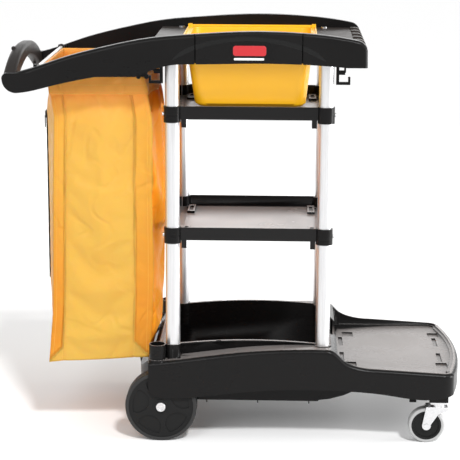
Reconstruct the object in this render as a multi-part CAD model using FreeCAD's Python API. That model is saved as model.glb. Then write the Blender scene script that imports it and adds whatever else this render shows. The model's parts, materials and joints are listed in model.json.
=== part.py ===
import FreeCAD, Part
import math
import os

# Housekeeping cart with a hanging bag, a lift-out bin, two shelves, a tub and a front platform.
# Millimetres. +X runs from the handle to the nose, +Y from the near side to the far side, +Z up.
# The origin is on the floor at the centre of the bounding box.

Vector = FreeCAD.Vector
X_AXIS = Vector(1, 0, 0)
Y_AXIS = Vector(0, 1, 0)
Z_AXIS = Vector(0, 0, 1)
ORIGIN = Vector(0, 0, 0)
FIT = 0.05                       # radial clearance of a running or sliding fit

# Overall
HANDLE_X = -632.0                # outer face of the handle
NOSE_X = 632.0                   # tip of the base's nose
MIDDLE_X = 29.0                  # the posts, shelves and deck are symmetric about this X

# Posts
POST_R = 19.75
POST_WALL = 1.75
POST_X = (MIDDLE_X - 208.0, MIDDLE_X + 208.0)
POST_Y = 217.0
POST_FOOT_Z = 212.0
POST_TOP_Z = 1098.0
PLUG_LENGTH = 24.0
DECK_SCREW_R = 4.0
DECK_SCREW_HEAD = (9.0, 4.0)     # radius, height

# Base: points are (x, z) on the side elevation
SKIRT_Y = 268.0
SKIRT_WALL = 5.0
SKIRT_EDGE_R = 12.0              # rounding of the top edge along both sides and the nose
SKIRT_END_X = -245.0
SKIRT_CREST = [(SKIRT_END_X, 228), (-143, 240), (37, 263), (157, 270), (246, 271)]
SKIRT_FALL = [(246, 271), (270, 264), (295, 240), (331, 224), (385, 217)]
SKIRT_NOSE_TOP_Z = 203.0
SKIRT_HEM = [(594, 142), (522, 132), (405, 146), (278, 155), (158, 156), (38, 149), (-88, 134), (-198, 127),
             (-232, 131)]
NOSE_CORNER_X = 604.0
NOSE_CORNER_Y = 238.0
SIDE_END_X = 572.0
SOCKET_R = 23.0
SOCKET_Z = (206.0, 273.0)
HAND_HOLE_R = 150.0
HAND_HOLE_Z = 385.0              # centre of the arc cut into the tub's front wall
CHIN = [(224, 103), (262, 108), (300, 119), (345, 140), (345, 146), (300, 125), (262, 114), (224, 109)]
CHIN_HALF_Y = 195.0
CHIN_CHEEK_TOP_Z = 170.0
LUG = (485.0, 504.0, 188.0, 196.0, 102.0)    # x from, x to, y from, y to, foot z
STUD_X = (MIDDLE_X - 115.0, MIDDLE_X + 29.0, MIDDLE_X + 173.0)
STUD_Y = (-190.0, 0.0, 190.0)
STUD_SIZE = (3.0, 10.0, 10.0)    # x, y, drop below the tub floor
TUB_X = (-198.0, 262.0)
TUB_FLOOR_Z = 103.0
TUB_TOP_HALF_Y = 212.0
TUB_FLOOR_HALF_Y = 203.0
TUB_WALL = 4.0
TUB_RIM = [(TUB_X[0], 267), (MIDDLE_X, 283), (TUB_X[1], 271)]
TUB_LIP = 5.0
TUB_NOTCH_X = (-59.0, -45.0)
TAIL_X = -288.0
TAIL_PROFILE = [(-198, 264), (-221, 262), (-236, 235), (-244, 205), (-262, 188), (-288, 150), (-284, 120),
                (-198, 105)]
PLATFORM_Z = 197.0
PLATFORM_X = (278.0, 612.0)
PLATFORM_THICK = 6.0
SLOT_DEPTH = 4.0
PLATFORM_LEDGE_Z = 201.0
PLATFORM_INSET = 22.0
LEDGE_INSET = 14.0
SLOTS = [(291.0, 303.0, 35.0, 118.0), (569.0, 581.0, 35.0, 118.0), (304.0, 336.0, 128.0, 172.0),
         (560.0, 592.0, 128.0, 172.0)]    # x from, x to, y from, y to
CASTER_PAD_Z = 120.0
PAD_MARGIN = 1.0
PAD_WALL = 5.0
PAD_FLOOR = 8.0
BRACKET_FOOT_Z = 82.0
BRACKET_Y = (190.0, 202.0)
BRACKET_HALF_X = 24.0
SKIRT_BACK_TOP_Z = 190.0

# Rear wheels and axle
AXLE_X = -211.0
WHEEL_R = 100.0
TREAD_BED_R = 90.0
TYRE_SHOULDER = 5.0
WHEEL_Y = (214.0, 262.0)
AXLE_R = 6.0
BUSH_R = 11.0
BUSH_LENGTH = 13.0
AXLE_CAP_R = 14.0
AXLE_CAP_LENGTH = 5.5
AXLE_CAP_DISH_R = 8.5
POCKET_COUNT = 5
POCKET_R = (35.0, 79.0)
POCKET_HALF_DEGREES = 25.0
POCKET_DEPTH = 3.0
POCKET_START_DEGREES = 168.0
WHEEL_HUB_R = 20.0
WHEEL_WEB = 14.0
WHEEL_RIM_WALL = 9.0
WELL_R = 105.0
WELL_Y = WHEEL_Y[0] - 4.0

# Casters
SWIVEL_X = 562.0
CASTER_Y = 228.0
CASTER_R = 50.0
CASTER_TRAIL = 32.0
CASTER_WIDTH = 32.0
CASTER_HUB_R = 41.5
CASTER_AXLE_R = 4.0
KING_PIN_R = 5.0
CROWN_Z = (102.0, 105.0)
RACE_Z = 111.0
PLATE_Z = 117.0
PLATE_SIZE = 50.0
PLATE_HOLE = 18.5
SCREW_R = 3.0
SCREW_HEAD_R = 4.5
LEG_GAP = 18.0
LEG_THICK = 2.5

# Shelves
SHELF_TOP_Z = (605.0, 940.0)
SHELF_HALF_X = 226.0
SHELF_HALF_Y = 226.0
SHELF_WALL = 5.0
SHELF_RIM = 36.0
SHELF_DEPTH = 29.0
SHELF_FLOOR = 4.0
SHELF_CORNER_R = 18.0
SHELF_DIP = 20.0
SHELF_DIP_HALF_Y = 150.0
PAD_INSET = (34.0, 56.0)         # of a raised pad from the shelf's end wall
PAD_Y = (96.0, 190.0)
PAD_RISE = 7.0
TAB_WIDTH = 14.0
TAB_DROP = 22.0
COLLAR_R = 23.5
COLLAR_HEIGHT = 44.0
COLLAR_SLIT = 3.0
COLLAR_SCREW_R = 4.0
COLLAR_HEAD_R = 5.5

# Top frame: points are (x, z) on the side elevation of a rail
RAIL_Y = (243.0, 271.0)
RAIL_WALL = 4.0
RAIL_EDGE_R = 10.0               # rounding of a rail's outer top edge
RAIL_EDGE_Z = 1060.0             # edges whose middle lies above this are top edges
PANEL_EDGE_R = 8.0
RAIL_END_X = 344.0
RAIL_TOP = [(-598, 1031), (-557, 1043), (-466, 1074), (-352, 1104), (-243, 1126), (-117, 1138), (31, 1146),
            (174, 1142), (250, 1135), (316, 1124)]
RAIL_BOTTOM = [(290, 1052), (175, 1060), (32, 1062), (-115, 1059), (-191, 1054), (-243, 1037), (-274, 1024)]
ARM_BOTTOM = [(-381, 1023), (-439, 1012), (-499, 998), (-558, 983), (-594, 978)]
PANEL_X = (-116.0, 172.0)
PANEL_SEAM = 3.0
PANEL_Y = (261.0, 272.5)
PANEL_GROOVE = 2.0
ARCH_END_Z = (1097.0, 1110.0)
ARCH_CREST_Z = (1121.0, 1133.0)
SWOOSH_REACH = 62.0
SWOOSH_DROP = 42.0
BADGE_CENTRE = (30.5, 1096.0)
BADGE_SIZE = (88.0, 27.0)
STRIP_CENTRE = (29.0, 1074.0)
STRIP_SIZE = (80.0, 6.0)
DECK_X = (-238.0, 312.0)
DECK_Z = (1102.0, 1108.0)
DECK_SOCKET_R = 24.0
DECK_SOCKET_Z = 1058.0
DECK_WALL = 5.0
DECK_WALL_FOOT_Z = 1046.0
DECK_WALL_ARCH_R = 500.0
DECK_WALL_ARCH_RISE = 25.0
CURB_DROP = 30.0
CURB_WALL = 3.0
HOOK_COUNT = 6
HOOK_PITCH = 82.0
HOOK_WIDTH = 22.0
CAP_FOOT_Z = 1056.0
CAP_REACH = 337.0
CAP_WALL = 4.0
GRIP_DEPTH = 34.0
GRIP_TOP_Z = (1085.0, 1031.0)    # at the middle and at the arms
GRIP_BOTTOM_Z = (1045.0, 988.0)
KNOB_R = 6.5
KNOB_YZ = (-100.0, 1078.0)
PEG_Y = (196.0, 204.0)
PEG_Z = (987.0, 1012.0)

# Bin
BIN_RIM_X = (-160.0, 213.0)
BIN_RIM_HALF_Y = 241.0
BIN_RIM_Z = (1108.2, 1111.2)
BIN_LIP_Z = 1115.0
BIN_LIP = 4.0
BIN_RIM_R = 20.0
BIN_SEAT = 9.0                   # how far the rim reaches over the deck
BIN_BODY_TOP = (-145.0, 200.0, 206.0)    # low x, high x, half y
BIN_BODY_FOOT = (-121.0, 182.0, 190.0)
BIN_FOOT_Z = 934.0
BIN_WALL = 3.0
BIN_CORNER_R = 30.0

# Bag and its rods
ROD_R = 6.0
ROD_HALF_Y = 237.0
ROD_KNOB_R = 11.0
ROD_KNOB_Y = 214.0
ROD_AT = [(-536.0, 1046.0), (-256.0, 1040.0)]    # (x, z): handle side, post side
SADDLE_HALF_X = 12.0
SADDLE_DEPTH = 12.0
SADDLE_DROP = 19.0
SADDLE_FOOT_R = 6.0
LOOP_GAP = 0.6
LOOP_WALL = 2.0
LOOP_WIDTH = 26.0
LOOP_Y = 162.0
BAG_WALL = 2.5
BAG_TOP_Z = 1046.0
BAG_HALF_Y = 186.0
# (z at the handle corner, z at the post corner, handle corner x, handle middle x, post corner x,
#  post middle x, corner y, middle y)
BAG_SECTIONS = [
    (201, 220, -533, -540, -248, -248, 182, 186),
    (410, 420, -526, -549, -241, -228, 186, 194),
    (700, 700, -520, -549, -238, -223, 188, 196),
    (900, 900, -514, -549, -237, -234, 188, 194),
    (BAG_TOP_Z, BAG_TOP_Z, -529, -529, -264.5, -264.5, BAG_HALF_Y, BAG_HALF_Y),
]
ZIP_Z = (405.0, 895.0)
ZIP_X = -549.3
ZIP_HALF_WIDTH = 14.0
ZIP_THICK = 2.5
SLIDER_LENGTH = 20.0

# Tool clips and cups
CLIP_REACH = 38.0
CLIP_THICK = 13.0
CLIP_FOOT_Z = 1001.0
CLIP_EYE = 26.0
CLIP_STEM = 8.0
CUP_X = -221.0
CUP_Y = 239.0
CUP_R = 23.5
CUP_BORE_R = 20.5
CUP_Z = (230.0, 276.0)
CUP_FLOOR = 3.0
CUP_SEAT_R = 26.5
CUP_SEAT_Z = (222.0, 234.0)


def box(x, y, z):
    return Part.makeBox(x[1] - x[0], y[1] - y[0], z[1] - z[0], Vector(x[0], y[0], z[0]))


def cylinder(radius, start, length, axis=Z_AXIS):
    return Part.makeCylinder(radius, length, Vector(*start), axis)


def tube(outer_r, inner_r, start, length, axis=Z_AXIS):
    return cylinder(outer_r, start, length, axis).cut(cylinder(inner_r, start, length, axis))


def mirrored(shape):
    return shape.mirror(ORIGIN, Y_AXIS)


def both_sides(shapes):
    return shapes + [mirrored(shape) for shape in shapes]


def moved(shape, x=0.0, y=0.0, z=0.0):
    copy = shape.copy()
    copy.translate(Vector(x, y, z))
    return copy


def fused(shapes):
    return shapes[0].fuse(shapes[1:]).removeSplitter()


def line(points):
    return [Part.makeLine(a, b) for a, b in zip(points, points[1:])]


def curve(points):
    spline = Part.BSplineCurve()
    spline.interpolate(points)
    return [spline.toShape()]


def arc(points):
    return [Part.Arc(*points).toShape()]


def at_xz(points):
    return [Vector(x, 0, z) for x, z in points]


def at_xy(points):
    return [Vector(x, y, 0) for x, y in points]


def prism(edges, start, travel):
    face = Part.Face(Part.Wire(edges))
    face.translate(start)
    return face.extrude(travel)


def prism_y(edges, y0, y1):
    return prism(edges, Vector(0, y0, 0), Vector(0, y1 - y0, 0))


def prism_z(edges, z0, z1):
    return prism(edges, Vector(0, 0, z0), Vector(0, 0, z1 - z0))


def rounded_wire(x, y, radius, z):
    mid = radius * (1 - math.sqrt(0.5))
    corners = [
        [(x[0], y[0] + radius), (x[0] + mid, y[0] + mid), (x[0] + radius, y[0])],
        [(x[1] - radius, y[0]), (x[1] - mid, y[0] + mid), (x[1], y[0] + radius)],
        [(x[1], y[1] - radius), (x[1] - mid, y[1] - mid), (x[1] - radius, y[1])],
        [(x[0] + radius, y[1]), (x[0] + mid, y[1] - mid), (x[0], y[1] - radius)],
    ]
    edges = []
    for here, after in zip(corners, corners[1:] + corners[:1]):
        edges += arc([Vector(px, py, z) for px, py in here])
        edges += line([Vector(here[2][0], here[2][1], z), Vector(after[0][0], after[0][1], z)])
    return Part.Wire(edges)


def rounded_block(x, y, radius, z):
    return Part.Face(rounded_wire(x, y, radius, z[0])).extrude(Vector(0, 0, z[1] - z[0]))


def rounded_edges(shape, radius, wanted):
    """Shape with some edges rounded; wanted picks them by their centre."""
    return shape.makeFillet(radius, [edge for edge in shape.Edges if wanted(edge.CenterOfMass)])


def save(node, shapes):
    shape = shapes[0] if len(shapes) == 1 else Part.makeCompound(shapes)
    shape.exportStep("parts/%s.step" % node)


def post_places():
    return [(x, y) for x in POST_X for y in (-POST_Y, POST_Y)]


# ---------------------------------------------------------------- base

def skirt_side(drop):
    """Side elevation of the skirt, lowered by drop and closed below the hem when drop is not zero."""
    def down(points):
        return at_xz([(x, z - drop) for x, z in points])
    nose_top = (NOSE_X, SKIRT_NOSE_TOP_Z)
    edges = curve(down(SKIRT_CREST)) + curve(down(SKIRT_FALL)) + line(down([SKIRT_FALL[-1], nose_top]))
    if drop:
        low = TUB_FLOOR_Z - 60
        return edges + line(down([nose_top])[:1] + at_xz([(NOSE_X, low), (SKIRT_END_X, low)])
                            + down([SKIRT_CREST[0]]))
    hem_end = (SKIRT_END_X, 150)
    edges += line(down([nose_top, (NOSE_X, 146), SKIRT_HEM[0]]))
    edges += curve(down(SKIRT_HEM))
    return edges + line(down([SKIRT_HEM[-1], hem_end, SKIRT_CREST[0]]))


def base_plan(inset, z0, z1):
    side = SKIRT_Y - inset
    corner_y = NOSE_CORNER_Y - inset
    corner_x = NOSE_CORNER_X - inset
    blend = ((SIDE_END_X + corner_x) / 2 + 6, (side + corner_y) / 2 + 6)
    back = SKIRT_END_X + inset
    edges = line(at_xy([(back, side), (back, -side), (SIDE_END_X, -side)]))
    edges += arc(at_xy([(SIDE_END_X, -side), (blend[0], -blend[1]), (corner_x, -corner_y)]))
    edges += arc(at_xy([(corner_x, -corner_y), (NOSE_X - inset, 0), (corner_x, corner_y)]))
    edges += arc(at_xy([(corner_x, corner_y), blend, (SIDE_END_X, side)]))
    edges += line(at_xy([(SIDE_END_X, side), (back, side)]))
    return prism_z(edges, z0, z1)


def tub_body(shrink):
    """The tub as a solid, its walls moved inwards and its floor raised by shrink."""
    floor = TUB_FLOOR_Z + shrink
    section = [(-TUB_TOP_HALF_Y + shrink, TUB_RIM[1][1]), (-TUB_FLOOR_HALF_Y + shrink, floor),
               (TUB_FLOOR_HALF_Y - shrink, floor), (TUB_TOP_HALF_Y - shrink, TUB_RIM[1][1])]
    points = [Vector(TAIL_X - 10, y, z) for y, z in section]
    across = prism(line(points + points[:1]), ORIGIN, Vector(TUB_X[1] - TAIL_X + 20, 0, 0))
    tail = [(x + (shrink if x < TUB_X[0] else 0), z + (shrink if z < 125 else 0)) for x, z in TAIL_PROFILE]
    front = TUB_X[1] - shrink
    edges = arc(at_xz(TUB_RIM[:2] + [(TUB_X[1], TUB_RIM[2][1])]))
    edges += line(at_xz([TUB_RIM[2], (front, TUB_RIM[2][1] - 1), (front - 2, 200), (front - 34, floor),
                         (-109, floor), tail[-1]]))
    edges += line(at_xz(list(reversed(tail)) + [TUB_RIM[0]]))
    along = prism_y(edges, -TUB_TOP_HALF_Y - 5, TUB_TOP_HALF_Y + 5)
    half = TUB_FLOOR_HALF_Y + 8
    plan = arc(at_xy([(TUB_X[0], -half), (TAIL_X + shrink, 0), (TUB_X[0], half)]))
    plan += line(at_xy([(TUB_X[0], half), (TUB_X[1] + 1, half + 4), (TUB_X[1] + 1, -half - 4),
                        (TUB_X[0], -half)]))
    return across.common(along).common(prism_z(plan, 50, 300))


def tub_lips():
    rim = at_xz(TUB_RIM)
    low = at_xz([(x, z - TUB_WALL) for x, z in TUB_RIM])
    edges = arc(rim) + line([rim[2], low[2]]) + arc(low) + line([low[0], rim[0]])
    lip = prism_y(edges, TUB_TOP_HALF_Y - TUB_WALL, TUB_TOP_HALF_Y + TUB_LIP)
    notch = box(TUB_NOTCH_X, (TUB_TOP_HALF_Y, TUB_TOP_HALF_Y + TUB_LIP), (260, 290))
    return both_sides([lip.cut(notch)])


def platform_slots():
    z = (PLATFORM_Z - SLOT_DEPTH, PLATFORM_Z + 1)
    return both_sides([box((x0, x1), (y0, y1), z) for x0, x1, y0, y1 in SLOTS])


def caster_pad():
    """Hollow box under the platform, open towards the middle of the cart, that takes a caster plate."""
    half = PLATE_SIZE / 2 + PAD_MARGIN
    x = (SWIVEL_X - half, SWIVEL_X + half)
    y = (CASTER_Y - half, CASTER_Y + half)
    block = box(x, y, (CASTER_PAD_Z, PLATFORM_Z - 1))
    inside = box((x[0] + PAD_WALL, x[1] - PAD_WALL), (y[0] - 1, y[1] - PAD_WALL),
                 (CASTER_PAD_Z + PAD_FLOOR, PLATFORM_Z - PLATFORM_THICK))
    return block.cut(inside)


def screw_places(x, y):
    return [(x + dx, y + dy) for dx in (-PLATE_HOLE, PLATE_HOLE) for dy in (-PLATE_HOLE, PLATE_HOLE)]


def axle_bracket():
    """Plate under the tub that carries the rear axle on one side."""
    x = (AXLE_X - BRACKET_HALF_X, AXLE_X + BRACKET_HALF_X)
    plate = box(x, BRACKET_Y, (BRACKET_FOOT_Z, TUB_FLOOR_Z + 16))
    return plate.cut(cylinder(AXLE_R + FIT, (AXLE_X, 0, WHEEL_R), SKIRT_Y, Y_AXIS))


def tool_cup_seat():
    return cylinder(CUP_SEAT_R, (CUP_X, CUP_Y, CUP_SEAT_Z[0]), CUP_SEAT_Z[1] - CUP_SEAT_Z[0])


def platform_pan():
    """What is cut out above the platform floor: the pan itself and the low ledge round it."""
    y = (-SKIRT_Y, SKIRT_Y)
    pan = base_plan(PLATFORM_INSET, PLATFORM_Z, 300).common(box((PLATFORM_X[0], NOSE_X), y, (0, 300)))
    ledge = base_plan(LEDGE_INSET, PLATFORM_LEDGE_Z, 300)
    ledge = ledge.common(box((PLATFORM_X[0] + 20, NOSE_X), y, (0, 300)))
    return [pan, ledge]


def skirt_block(inset, foot_z):
    return prism_y(skirt_side(inset), -SKIRT_Y, SKIRT_Y).common(base_plan(inset, foot_z, 320))


def base_shell():
    """Skirt and platform as a shell open below; its back wall stays low to make room for the bag."""
    y = (-SKIRT_Y, SKIRT_Y)
    pan_floor = PLATFORM_Z - PLATFORM_THICK
    outer = rounded_edges(skirt_block(0, 60), SKIRT_EDGE_R,
                          lambda centre: abs(centre.y) > 1 and centre.z > PLATFORM_Z)
    cavity = skirt_block(SKIRT_WALL, 20)
    pan_block = base_plan(0, pan_floor, 300).common(box((PLATFORM_X[0] - 6, NOSE_X), y, (pan_floor, 300)))
    bag_room = box((SKIRT_END_X - 1, SKIRT_END_X + SKIRT_WALL), (-WELL_Y, WELL_Y), (SKIRT_BACK_TOP_Z, 320))
    return outer.cut([cavity.cut(pan_block), bag_room])


def wheel_wells():
    return both_sides([cylinder(WELL_R, (AXLE_X, WELL_Y, WHEEL_R), SKIRT_Y - SKIRT_WALL - WELL_Y, Y_AXIS)])


def chin():
    """Sloping plate between the tub and the platform, with a cheek at each side."""
    under = CHIN[:4]
    cheek = under + [(under[-1][0], CHIN_CHEEK_TOP_Z), (under[0][0], CHIN_CHEEK_TOP_Z), under[0]]
    side = prism_y(line(at_xz(cheek)), CHIN_HALF_Y - SKIRT_WALL, CHIN_HALF_Y)
    return [prism_y(line(at_xz(CHIN + CHIN[:1])), -CHIN_HALF_Y, CHIN_HALF_Y)] + both_sides([side])


def floor_studs():
    """Small feet under the tub floor."""
    width, depth, drop = STUD_SIZE
    z = (TUB_FLOOR_Z - drop, TUB_FLOOR_Z + 1)
    return [box((x - width / 2, x + width / 2), (y - depth / 2, y + depth / 2), z)
            for x in STUD_X for y in STUD_Y]


def base_deck():
    body = base_shell().fuse(tub_body(0)).fuse(tub_lips())
    body = body.cut(platform_pan()).cut(tub_body(TUB_WALL))
    hand_hole = cylinder(HAND_HOLE_R, (TUB_X[1] - 20, 0, HAND_HOLE_Z), 40, X_AXIS)
    body = body.cut([hand_hole] + wheel_wells())
    sockets = [cylinder(SOCKET_R, (x, y, SOCKET_Z[0]), SOCKET_Z[1] - SOCKET_Z[0]) for x, y in post_places()]
    lug = box(LUG[0:2], LUG[2:4], (LUG[4], PLATFORM_Z - 1))
    fittings = both_sides([caster_pad(), lug, axle_bracket(), tool_cup_seat()])
    body = body.fuse(sockets + chin() + floor_studs() + fittings)
    bores = [cylinder(POST_R + FIT, (x, y, POST_FOOT_Z), 100) for x, y in post_places()]
    bores += both_sides([cylinder(CUP_R + FIT, (CUP_X, CUP_Y, CUP_Z[0]), 40)])
    for side in (-CASTER_Y, CASTER_Y):
        places = screw_places(SWIVEL_X, side)
        bores += [cylinder(SCREW_R + FIT, (x, y, CASTER_PAD_Z - 1), PAD_FLOOR + 4) for x, y in places]
    body = body.cut(bores + platform_slots()).removeSplitter()
    save("base_deck", [body])


# ---------------------------------------------------------------- posts

def posts():
    names = ["post_handle_near", "post_handle_far", "post_nose_near", "post_nose_far"]
    length = POST_TOP_Z - POST_FOOT_Z
    for name, (x, y) in zip(names, post_places()):
        save(name, [tube(POST_R, POST_R - POST_WALL, (x, y, POST_FOOT_Z), length)])


def post_fixings():
    """Plug in the top of each post and the screw that holds the deck down on it."""
    foot = POST_TOP_Z - PLUG_LENGTH
    head_r, head_height = DECK_SCREW_HEAD
    plugs = []
    screws = []
    for x, y in post_places():
        plugs.append(tube(POST_R - POST_WALL - FIT, DECK_SCREW_R + FIT, (x, y, foot), PLUG_LENGTH))
        head = cylinder(head_r, (x, y, DECK_Z[1]), head_height)
        screws.append(fused([head, cylinder(DECK_SCREW_R, (x, y, foot + 2), DECK_Z[1] - foot - 2)]))
    save("post_plugs", plugs)
    save("post_screws", screws)


# ---------------------------------------------------------------- shelves

def shelf(node, top):
    x = (MIDDLE_X - SHELF_HALF_X, MIDDLE_X + SHELF_HALF_X)
    y = (-SHELF_HALF_Y, SHELF_HALF_Y)
    inner_x = (x[0] + SHELF_WALL, x[1] - SHELF_WALL)
    inner_y = (y[0] + SHELF_WALL, y[1] - SHELF_WALL)
    floor = top - SHELF_DEPTH
    inner_r = SHELF_CORNER_R - SHELF_WALL
    tray = rounded_block(x, y, SHELF_CORNER_R, (top - SHELF_RIM, top))
    tray = tray.cut([rounded_block(inner_x, inner_y, inner_r, (floor, top + 1)),
                     rounded_block(inner_x, inner_y, inner_r, (top - SHELF_RIM - 1, floor - SHELF_FLOOR))])
    dip_r = (SHELF_DIP_HALF_Y ** 2 + SHELF_DIP ** 2) / (2 * SHELF_DIP)
    tray = tray.cut(cylinder(dip_r, (x[0] - 1, 0, top - SHELF_DIP + dip_r), x[1] - x[0] + 2, X_AXIS))
    pads = []
    for pad_x in ((inner_x[0] + PAD_INSET[0], inner_x[0] + PAD_INSET[1]),
                  (inner_x[1] - PAD_INSET[1], inner_x[1] - PAD_INSET[0])):
        pad = box(pad_x, PAD_Y, (floor - 1, floor + PAD_RISE))
        slot_y = (PAD_Y[0] + 14, PAD_Y[1] - 20)
        pads.append(pad.cut(box((pad_x[0] + 6, pad_x[1] - 6), slot_y, (floor + 3, floor + PAD_RISE + 1))))
    rim_foot = top - SHELF_RIM
    tabs = [box((px, px + TAB_WIDTH), (y[1] - SHELF_WALL, y[1]), (rim_foot - TAB_DROP, rim_foot + 2))
            for px in (POST_X[0] + COLLAR_R + 1, POST_X[1] - COLLAR_R - 1 - TAB_WIDTH)]
    tray = tray.fuse(both_sides(pads + tabs))
    holes = [cylinder(COLLAR_R + FIT, (px, py, top - 70), 90) for px, py in post_places()]
    save(node, [tray.cut(holes).removeSplitter()])


def outward_of(x):
    return -1.0 if x < MIDDLE_X else 1.0


def collar(x, y, top):
    """Split ring round a post, with a screw hole that faces the end of the cart."""
    ring = tube(COLLAR_R, POST_R + FIT, (x, y, top - COLLAR_HEIGHT), COLLAR_HEIGHT)
    slit_y = tuple(sorted((y, y - math.copysign(COLLAR_R, y))))
    slit = box((x - COLLAR_SLIT / 2, x + COLLAR_SLIT / 2), slit_y, (top - COLLAR_HEIGHT - 1, top + 1))
    middle = (x, y, top - COLLAR_HEIGHT / 2)
    hole = cylinder(COLLAR_SCREW_R + FIT, middle, COLLAR_R + 2, X_AXIS * outward_of(x))
    return ring.cut([slit, hole])


def collar_screw(x, y, top):
    outward = outward_of(x)
    z = top - COLLAR_HEIGHT / 2
    tip = POST_R + 0.4
    head_foot = COLLAR_R + 1
    shank = cylinder(COLLAR_SCREW_R, (x + outward * tip, y, z), head_foot + 1 - tip, X_AXIS * outward)
    head = cylinder(COLLAR_HEAD_R, (x + outward * head_foot, y, z), 2.5, X_AXIS * outward)
    return fused([shank, head])


def collars():
    for node, top in zip(("lower_collars", "upper_collars"), SHELF_TOP_Z):
        save(node, [collar(x, y, top) for x, y in post_places()])
    save("collar_screws", [collar_screw(x, y, top) for top in SHELF_TOP_Z for x, y in post_places()])


# ---------------------------------------------------------------- top frame

def rail_side():
    """Side elevation of a rail with its handle arm."""
    tip = HANDLE_X
    edges = line(at_xz([(tip + 10, RAIL_TOP[0][1]), RAIL_TOP[0]])) + curve(at_xz(RAIL_TOP))
    edges += arc(at_xz([RAIL_TOP[-1], (335, 1114), (RAIL_END_X - 1, 1098)]))
    edges += line(at_xz([(RAIL_END_X - 1, 1098), (RAIL_END_X, 1052), RAIL_BOTTOM[0]]))
    edges += curve(at_xz(RAIL_BOTTOM)) + line(at_xz([RAIL_BOTTOM[-1], ARM_BOTTOM[0]]))
    edges += curve(at_xz(ARM_BOTTOM))
    edges += arc(at_xz([ARM_BOTTOM[-1], (tip + 12, 988), (tip, 1014)]))
    edges += arc(at_xz([(tip, 1014), (tip + 2.5, 1026), (tip + 10, RAIL_TOP[0][1])]))
    return edges


def swoosh(x, outward):
    """Groove that carries the arch band on into a rail, turning down and fading out."""
    low, high = ARCH_END_Z
    reach = outward * SWOOSH_REACH
    tip = (x + reach, high - SWOOSH_DROP)
    over = at_xz([(x, high), (x + reach * 0.55, high - SWOOSH_DROP * 0.38), tip])
    under = at_xz([tip, (x + reach * 0.45, low - SWOOSH_DROP * 0.3), (x, low)])
    groove = prism_y(arc(over) + arc(under) + line([under[2], over[0]]), -PANEL_GROOVE, PANEL_GROOVE)
    groove.rotate(Vector(x, PANEL_GROOVE, 0), Z_AXIS,
                  outward * math.degrees(math.atan2(-PANEL_GROOVE, SWOOSH_REACH)))
    return moved(groove, y=-RAIL_Y[1])


def rail_block(y, radius):
    """Solid of a rail's side elevation with its outer top edge rounded."""
    return rounded_edges(prism_y(rail_side(), -y[1], -y[0]), radius,
                         lambda centre: centre.y < 0.5 - y[1] and centre.z > RAIL_EDGE_Z)


def near_rail():
    rail = rail_block(RAIL_Y, RAIL_EDGE_R)
    rail = rail.cut([swoosh(PANEL_X[0], -1.0), swoosh(PANEL_X[1], 1.0)])
    hollow = prism_y(rail_side(), -RAIL_Y[1] + RAIL_WALL, -RAIL_Y[0] - RAIL_WALL)
    hollow = moved(hollow, z=-RAIL_WALL).common(
        box((HANDLE_X + 42, RAIL_END_X - 6), (-RAIL_Y[1], -RAIL_Y[0]), (900, 1200)))
    seat = box(PANEL_X, (-RAIL_Y[1], -PANEL_Y[0]), (1000, 1200))
    return rail.cut([hollow, seat])


def arch_band():
    low, high = ARCH_END_Z
    x = (PANEL_X[0] - 1, MIDDLE_X - 1, PANEL_X[1] + 1)
    under = at_xz([(x[0], low), (x[1], ARCH_CREST_Z[0]), (x[2], low)])
    over = at_xz([(x[0], high), (x[1], ARCH_CREST_Z[1]), (x[2], high)])
    edges = arc(under) + line([under[2], over[2]]) + arc(over) + line([over[0], under[0]])
    return prism_y(edges, -PANEL_Y[1] - 1, -PANEL_Y[1] + PANEL_GROOVE)


def near_panel():
    panel = rail_block(PANEL_Y, PANEL_EDGE_R).common(
        box((PANEL_X[0] + PANEL_SEAM, PANEL_X[1] - PANEL_SEAM), (-PANEL_Y[1], -PANEL_Y[0]), (1000, 1200)))
    return panel.cut(arch_band())


def face_plate(centre, size, radius, thick):
    """Rounded plate lying on the near centre panel."""
    x = (centre[0] - size[0] / 2, centre[0] + size[0] / 2)
    z = (centre[1] - size[1] / 2, centre[1] + size[1] / 2)
    plate = rounded_block(x, z, radius, (0, thick))
    plate.rotate(ORIGIN, X_AXIS, 90)
    return moved(plate, y=-PANEL_Y[1])


def rails():
    rail = near_rail()
    panel = near_panel()
    save("side_rail_near", [rail])
    save("side_rail_far", [mirrored(rail)])
    save("center_panel_near", [panel])
    save("center_panel_far", [mirrored(panel)])
    save("badge_plates", both_sides([face_plate(BADGE_CENTRE, BADGE_SIZE, 7, 1.0)]))
    save("badge_strips", both_sides([face_plate(STRIP_CENTRE, STRIP_SIZE, 1.5, 0.6)]))


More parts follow.
